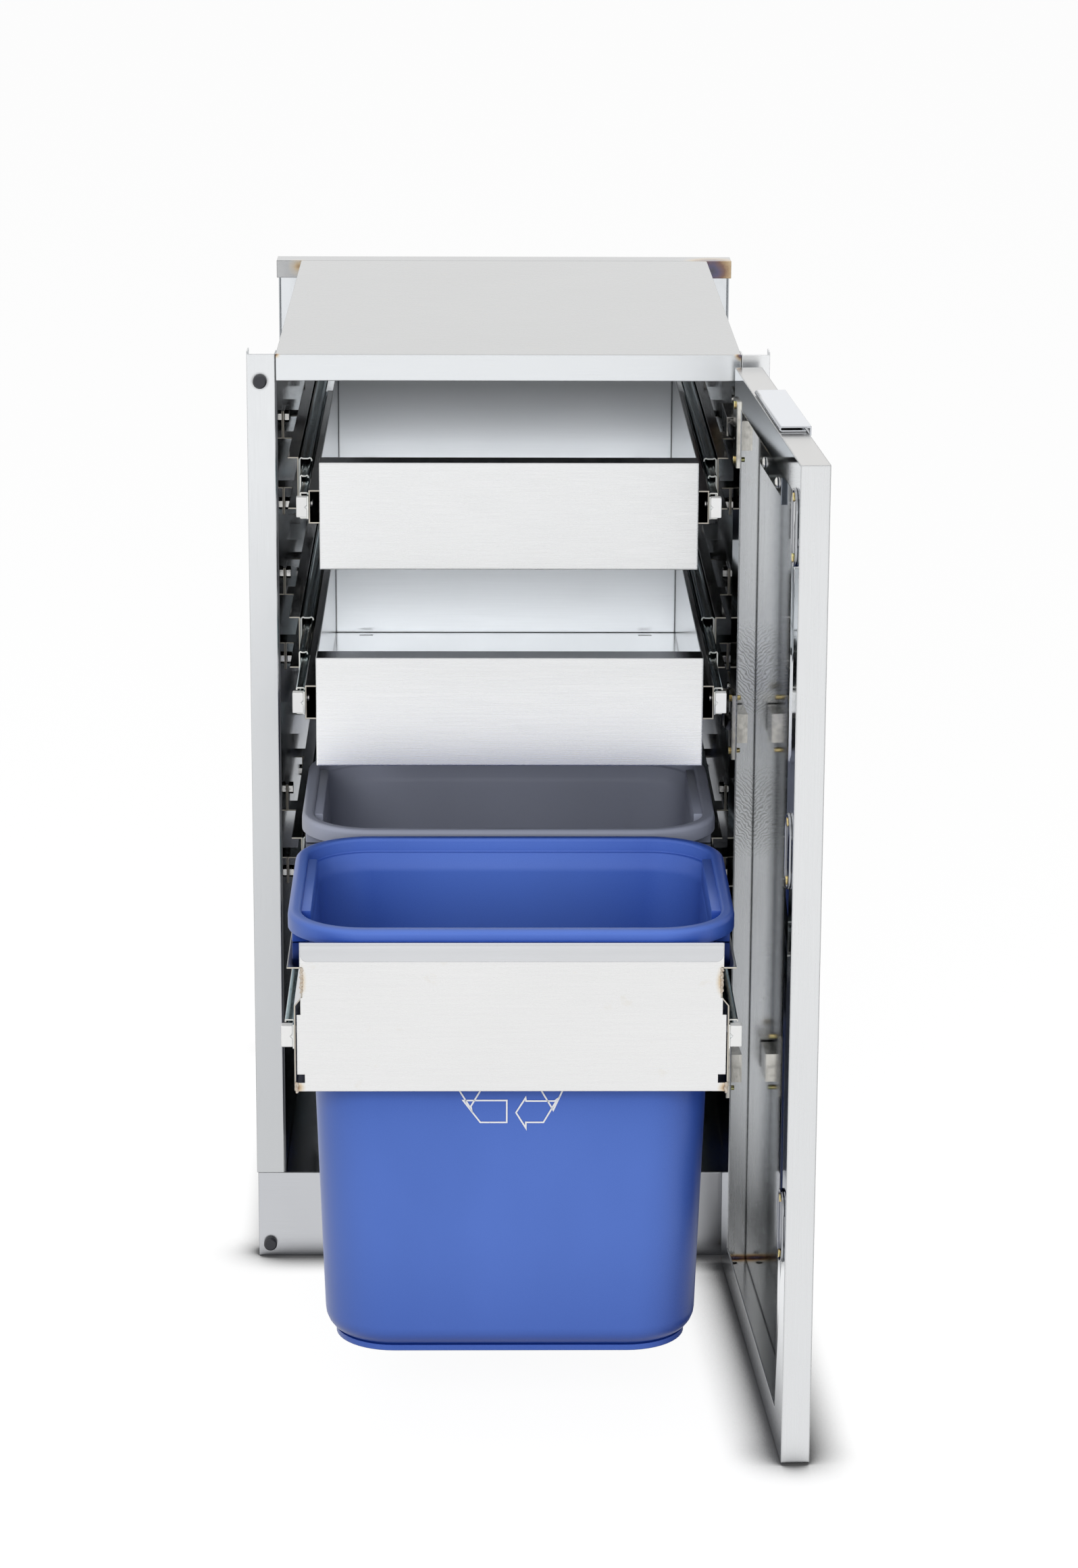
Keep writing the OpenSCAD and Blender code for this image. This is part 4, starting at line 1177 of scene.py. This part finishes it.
@dataclass
class Carrier:
    """The pull-out frame that holds the bins.

    Each weld has a name, the X and Z of its start and its end on the right half, and its size.
    """

    face: float = -0.493
    hem_half: float = 0.1665
    hem_low: float = 0.4375
    hem_high: float = 0.4510
    hem_roll: float = 0.0021
    hem_corner: float = 0.006
    hem_sheet: float = 0.0012
    hem_back: float = 0.002
    step: float = 0.0006
    step_low: float = 0.0065
    step_high: float = 0.0045
    body: str = "bin_carrier"
    welds: tuple[tuple[str, tuple[float, float], tuple[float, float], float], ...] = (
        ("neck_weld", (0.1654, 0.4315), (0.1656, 0.4125), 0.0014),
        ("foot_weld", (0.1701, 0.3365), (0.1699, 0.3295), 0.0016))

    def dress(self) -> None:
        """Finishes the carrier's sheets, folds its hem and lays its welds."""
        Workshop.dress("carrier_front", Finishes.CARRIER)
        for node in ("carrier_left_side", "carrier_right_side"):
            Workshop.dress(node, Finishes.SIDE)
        Workshop.dress("carrier_back", Finishes.MILL)
        Workshop.dress("carrier_screws", Finishes.BOLT, Bend.THIN)
        self.fold_hem()
        for name, side in (("left", -1), ("right", 1)):
            for weld, (x, z), (end_x, end_z), size in self.welds:
                Bead(f"{name}_{weld}", (side * x, self.face, z), (side * end_x, self.face, end_z), size,
                     self.body).build()

    def fold_hem(self) -> None:
        """Folds the front's upper edge forwards and down, with round lower corners."""
        mesh = bmesh.new()
        front = self.face - self.hem_sheet
        middle = front + self.hem_roll
        pen = Pen(mesh, front, self.hem_low)
        pen.line(front, self.hem_high - self.step_low)
        pen.line(front - self.step, self.hem_high - self.step_high)
        pen.line(front, self.hem_high)
        pen.arc(middle, self.hem_high, 180.0, 10)
        pen.line(middle + self.hem_roll, self.hem_high - self.hem_back)
        pen.sweep(-self.hem_half, self.hem_half)
        low = [v for v in mesh.verts if v.co.z < self.hem_low + self.hem_sheet / 10]
        soften(mesh, low, self.hem_corner, 6, "VERTICES")
        bmesh.ops.solidify(mesh, geom=mesh.faces[:], thickness=self.hem_sheet)
        bmesh.ops.recalc_face_normals(mesh, faces=mesh.faces[:])
        bmesh.ops.rotate(mesh, cent=NOWHERE, matrix=turned(90.0, "Z"), verts=mesh.verts[:])
        Workshop.piece("carrier_hem", mesh, Finishes.HEM, "stainless", self.body)


class Level(NamedTuple):
    """A level of a bin's wall.

    It holds the distance in from the rim's outline, the corners' radius, the height and the width to
    which the edge there is rounded.
    """

    inset: float
    radius: float
    height: float
    soft: float = 0.0


@dataclass
class Bin:
    """A tapered bin with a rolled rim, hanging in the carrier by its rim.

    The names with soft are the widths to which edges are rounded. The flare is the height over which
    the wall widens by the shoulder under the rim, and the ledge is the step inside at its seat.
    """

    name: str
    middle: float
    finish: Plastic
    slot: str
    width: float = 0.357
    depth: float = 0.278
    rim_top: float = 0.4617
    rim_height: float = 0.014
    rim_width: float = 0.0108
    rim_radius: float = 0.062
    shoulder: float = 0.0056
    flare: float = 0.014
    taper: float = 0.0103
    base: float = 0.0931
    base_round: float = 0.020
    low_radius: float = 0.057
    foot_step: float = 0.0113
    foot_height: float = 0.003
    foot_lip: float = 0.0021
    foot_soft: float = 0.001
    flare_soft: float = 0.002
    flare_rise: float = 0.001
    inner_soft: float = 0.003
    rim_outer_soft: float = 0.0042
    rim_inner_soft: float = 0.0026
    rim_low_soft: float = 0.0006
    seat_soft: float = 0.0012
    rim_draft: float = 0.0004
    ledge: float = 0.0027
    ledge_drop: float = 0.0003
    wall: float = 0.0026
    rib_length: float = 0.150
    rib_drop: float = 0.015
    rib_sink: float = 0.002
    rib_inset: float = 0.003
    rib_soft: float = 0.0012

    def levels(self) -> list[Level]:
        """Lists the wall's levels from the foot up, over the rim and down inside.

        Returns:
            The levels, in the order in which the wall grows.
        """
        side = self.rim_width + self.shoulder
        rim_z = self.rim_top - self.rim_height
        seat = rim_z + self.wall
        flare_z = seat - self.flare
        body_z = self.base + self.foot_height
        corner = self.rim_radius - side
        foot = side + self.taper + self.base_round - self.foot_step
        foot_r = self.low_radius - self.base_round + self.foot_step
        made = [Level(foot, foot_r, self.base, self.foot_soft),
                Level(foot, foot_r, body_z + self.foot_lip)]
        made += self.turned_in((65, 45, 30, 15, 0), side, body_z, 0.0)
        made.append(Level(side, corner, flare_z, self.flare_soft))
        for inset, height, soft in (
                (side - self.shoulder * (1 - self.wall / self.flare), rim_z, 0.0),
                (self.rim_width - self.wall, rim_z, 0.0),
                (self.rim_width - self.wall, self.rim_top - self.wall, 0.0),
                (self.wall, self.rim_top - self.wall, 0.0),
                (self.wall, rim_z, 0.0),
                (0.0, rim_z, self.rim_low_soft),
                (0.0, self.rim_top, self.rim_outer_soft),
                (self.rim_width, self.rim_top, self.rim_inner_soft),
                (self.rim_width + self.rim_draft, seat, self.seat_soft),
                (side - self.ledge, seat - self.ledge_drop, self.seat_soft)):
            made.append(Level(inset, self.rim_radius - inset, height, soft))
        made.append(Level(side + self.wall, corner - self.wall, flare_z + self.flare_rise, self.inner_soft))
        return made + self.turned_in((0, 22, 45, 68, 90), side, body_z, self.wall)

    def turned_in(self, angles: Iterable[float], side: float, low: float, wall: float) -> list[Level]:
        """Lists the levels where the wall turns into the floor.

        Args:
            angles: How far the wall has turned at each level, in degrees.
            side: The wall's inset at its top.
            low: Height of the floor's underside.
            wall: Distance in from the outer face.

        Returns:
            The levels, in the angles' order.
        """
        made = []
        for turn in map(math.radians, angles):
            shrink = wall + self.base_round * (1 - math.cos(turn))
            made.append(Level(side + self.taper + shrink, self.low_radius - shrink,
                              low + wall + self.base_round * (1 - math.sin(turn))))
        return made

    def build(self) -> None:
        """Models the bin from its levels and rounds the rim's edges."""
        mesh = bmesh.new()
        first, *rest = self.levels()
        loft = Loft(mesh, self.half(first), first.radius, self.middle, first.height)
        rings = [(loft.edges, first.soft)]
        for level in rest:
            rings.append((loft.grow(self.half(level), level.radius, level.height), level.soft))
        loft.close()
        for ring, soft in rings:
            if soft:
                soften(mesh, (e for e in ring if e.is_valid), soft, 4, clamp=True)
        for side in (-1, 1):
            self.rib(mesh, side)
        Workshop.piece(self.name + "_moulded", mesh, self.finish, self.slot, self.name, (self.name,))

    def half(self, level: Level) -> tuple[float, float]:
        """Gives half a level's width and depth."""
        return self.width / 2 - level.inset, self.depth / 2 - level.inset

    def rib(self, mesh: bmesh.types.BMesh, side: int) -> None:
        """Adds the block under the rim that sits on the carrier's flange.

        Args:
            mesh: The bmesh that gets it.
            side: 1 for the right side, -1 for the left.
        """
        low = self.rim_top - self.rim_height - self.rib_drop
        high = self.rim_top - self.wall
        inner = self.width / 2 - self.rim_width - self.shoulder - self.rib_sink
        outer = self.width / 2 - self.rib_inset
        block(mesh, (outer - inner, self.rib_length, high - low),
              (side * (inner + outer) / 2, self.middle, (low + high) / 2), self.rib_soft)


@dataclass
class Arrows:
    """Three plain arrows that chase each other, printed in outline on a bin's front.

    The bar and the head are the two shapes of one arrow, about a middle that lies the rise above them.
    """

    bin: Bin
    low: float = 0.2945
    rise: float = 0.036
    line: float = 0.0013
    ink: float = 0.00016
    bar: tuple[tuple[float, float], ...] = ((-0.0029, 0.0), (-0.025, 0.0), (-0.0397, 0.020),
                                            (-0.0029, 0.020))
    head: tuple[tuple[float, float], ...] = ((0.0031, 0.009), (0.0119, 0.0235), (0.0124, 0.0195),
                                             (0.0345, 0.0195), (0.0393, 0.0235), (0.0262, 0.0),
                                             (0.0124, 0.0), (0.0124, -0.0065))

    def build(self) -> None:
        """Prints the arrows on the slanted front wall."""
        mesh = bmesh.new()
        for shape in (self.bar, self.head):
            self.outline(mesh, shape)
        bmesh.ops.translate(mesh, vec=(0.0, 0.0, -self.rise), verts=mesh.verts[:])
        drawn = mesh.verts[:] + mesh.edges[:] + mesh.faces[:]
        for turn in (120.0, 240.0):
            copy = bmesh.ops.duplicate(mesh, geom=drawn)["geom"]
            bmesh.ops.rotate(mesh, cent=NOWHERE, matrix=turned(turn, "Y"),
                             verts=only(bmesh.types.BMVert, copy))
        bmesh.ops.solidify(mesh, geom=mesh.faces[:], thickness=self.ink)
        bmesh.ops.recalc_face_normals(mesh, faces=mesh.faces[:])
        side = self.bin.rim_width + self.bin.shoulder
        top = self.bin.rim_top - self.bin.rim_height + self.bin.wall - self.bin.flare
        foot = self.bin.base + self.bin.foot_height + self.bin.base_round
        slope = self.bin.taper / (top - foot)
        high = self.low + self.rise
        place = (0.0, self.bin.middle - self.bin.depth / 2 + side + (top - high) * slope - self.ink, high)
        bmesh.ops.rotate(mesh, cent=NOWHERE, matrix=Matrix.Rotation(math.atan(slope), 3, "X"),
                         verts=mesh.verts[:])
        bmesh.ops.translate(mesh, vec=place, verts=mesh.verts[:])
        Workshop.piece(self.bin.name + "_arrows", mesh, Finishes.INK, self.bin.slot, self.bin.name)

    def outline(self, mesh: bmesh.types.BMesh, shape: Iterable[tuple[float, float]]) -> None:
        """Draws a closed line round a shape.

        Args:
            mesh: The bmesh that gets the line.
            shape: The shape's corners.
        """
        face = mesh.faces.new([mesh.verts.new((x, 0.0, z)) for x, z in shape])
        face.normal_update()
        bmesh.ops.inset_region(mesh, faces=[face], thickness=self.line, use_even_offset=True,
                               use_boundary=True)
        bmesh.ops.delete(mesh, geom=[face], context="FACES_ONLY")


# Studio

@dataclass(frozen=True)
class Lamp:
    """A soft box that lights the object, or only the nodes that it names."""

    name: str
    place: Point
    aim: Point
    size: float
    power: float
    mirrored: bool = True
    lights: tuple[str, ...] = ()

    def light(self) -> None:
        """Hangs the lamp and points it."""
        data = bpy.data.lights.new(self.name, "AREA")
        data.shape = "SQUARE"
        data.size = self.size
        data.energy = self.power
        lamp = stand(self.name, data)
        lamp.visible_glossy = self.mirrored
        if self.lights:
            lit = bpy.data.collections.new(self.name + "_lit")
            for node in self.lights:
                lit.objects.link(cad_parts[node])
            lamp.light_linking.receiver_collection = lit
        lamp.location = self.place
        lamp.rotation_mode = "QUATERNION"
        lamp.rotation_quaternion = (Vector(self.aim) - Vector(self.place)).to_track_quat("-Z", "Y")


@dataclass
class Studio:
    """White floor and surround, soft light and the camera."""

    focal_pixels: float = 6371.0
    picture_height: float = 2322.0
    sensor: float = 36.0
    eye: Point = (-0.0289, -3.7231, 1.4464)
    down: float = 14.98
    right: float = 0.88
    roll: float = -0.25
    sky: float = 0.26
    painted_shadow_reach: float = 0.05
    floor_glow: float = 0.93
    floor_colour: Colour = (0.17, 0.17, 0.17)
    floor_half: float = 26.0
    lamps: tuple[Lamp, ...] = (
        Lamp("front_box", (-0.8, -5.4, 2.0), (0.0, -0.2, 0.4), size=3.0, power=215.0, mirrored=False),
        Lamp("side_box", (2.8, -2.6, 1.2), (0.0, -0.1, 0.4), size=2.2, power=12.0, mirrored=False),
        Lamp("drawer_box", (0.0, -4.6, 1.42), (0.0, 0.2, 0.62), size=2.2, power=32.0,
             lights=("upper_drawer_tray", "upper_drawer_back", "lower_drawer_tray", "lower_drawer_back")),
        Lamp("top_box", (-0.2, -0.6, 3.4), NOWHERE, size=2.6, power=10.0))

    def set_camera(self) -> None:
        """Stands the camera where the picture was taken from."""
        data = bpy.data.cameras.new("camera")
        data.sensor_fit = "VERTICAL"
        data.sensor_height = self.sensor
        data.sensor_width = self.sensor
        data.lens = self.focal_pixels / self.picture_height * self.sensor
        data.clip_start, data.clip_end = 0.1, 60.0
        down, right, roll = (math.radians(a) for a in (self.down, self.right, self.roll))
        ahead = Vector((math.sin(right) * math.cos(down), math.cos(right) * math.cos(down),
                        -math.sin(down)))
        level = Vector((math.cos(right), -math.sin(right), 0.0))
        up = level.cross(ahead)
        across = level * math.cos(roll) - up * math.sin(roll)
        upright = ahead.cross(across) * -1.0
        camera = stand("camera", data)
        turn = Matrix((across, upright, -ahead)).transposed().to_4x4()
        camera.matrix_world = Matrix.Translation(self.eye) @ turn
        bpy.context.scene.camera = camera

    def lay_floor(self) -> None:
        """Lays the white floor, with the object's real shadow and a painted contact shadow where its glow
        fades.
        """
        mesh = bmesh.new()
        bmesh.ops.create_grid(mesh, x_segments=8, y_segments=8, size=self.floor_half)
        data = bpy.data.meshes.new("floor")
        mesh.to_mesh(data)
        mesh.free()
        floor = stand("floor", data)
        r = Recipe("white_floor")
        # Painted contact shadow: the floor's glow fades where the object stands close.
        open_sky = r.add("AmbientOcclusion", {"Distance": self.painted_shadow_reach}, samples=16)
        lit = r.span(open_sky.outputs["AO"], 0.55, 0.97, 0.0, self.floor_glow)
        r.fix(base_color=self.floor_colour, roughness=0.9, specular_ior_level=0.0, emission_color=WHITE,
              emission_strength=r.combine(r.seen(), lit, "MULTIPLY"))
        data.materials.append(r.material)

    def set_world(self) -> None:
        """Makes the surround: white where it is seen, softer where it lights."""
        world = bpy.data.worlds.new("surround")
        bpy.context.scene.world = world
        world.use_nodes = True
        tree = Tree(world.node_tree)
        background = tree.nodes["Background"]
        tree.feed(background.inputs["Color"], WHITE)
        tree.feed(background.inputs["Strength"], tree.span(tree.seen(), 0.0, 1.0, self.sky, 1.0))

    def build(self) -> None:
        """Sets the camera, floor, surround and lamps."""
        bpy.context.scene.view_settings.view_transform = "Standard"
        self.set_camera()
        self.lay_floor()
        self.set_world()
        for lamp in self.lamps:
            lamp.light()


def main() -> None:
    """Builds and dresses the cabinet, part by part."""
    logging.basicConfig(level=logging.INFO, format="%(name)s: %(message)s")
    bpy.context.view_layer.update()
    Studio().build()
    bins = (Bin("blue_bin", middle=-0.350, finish=Finishes.BLUE, slot="blue_plastic"),
            Bin("grey_bin", middle=-0.058, finish=Finishes.GREY, slot="grey_plastic"))
    parts = (Case(), Runners(), Hinges(), Door(),
             Drawer("upper", front=Finishes.SATIN, back=Finishes.MILL_BACK_UPPER_SHADED),
             Drawer("lower", front=Finishes.SATIN_LOWER_LIT, back=Finishes.MILL_BACK), Carrier())
    for part in parts:
        part.dress()
        LOG.info("%s dressed", type(part).__name__)
    for one in bins:
        one.build()
        Arrows(one).build()


if __name__ == "__main__":
    main()
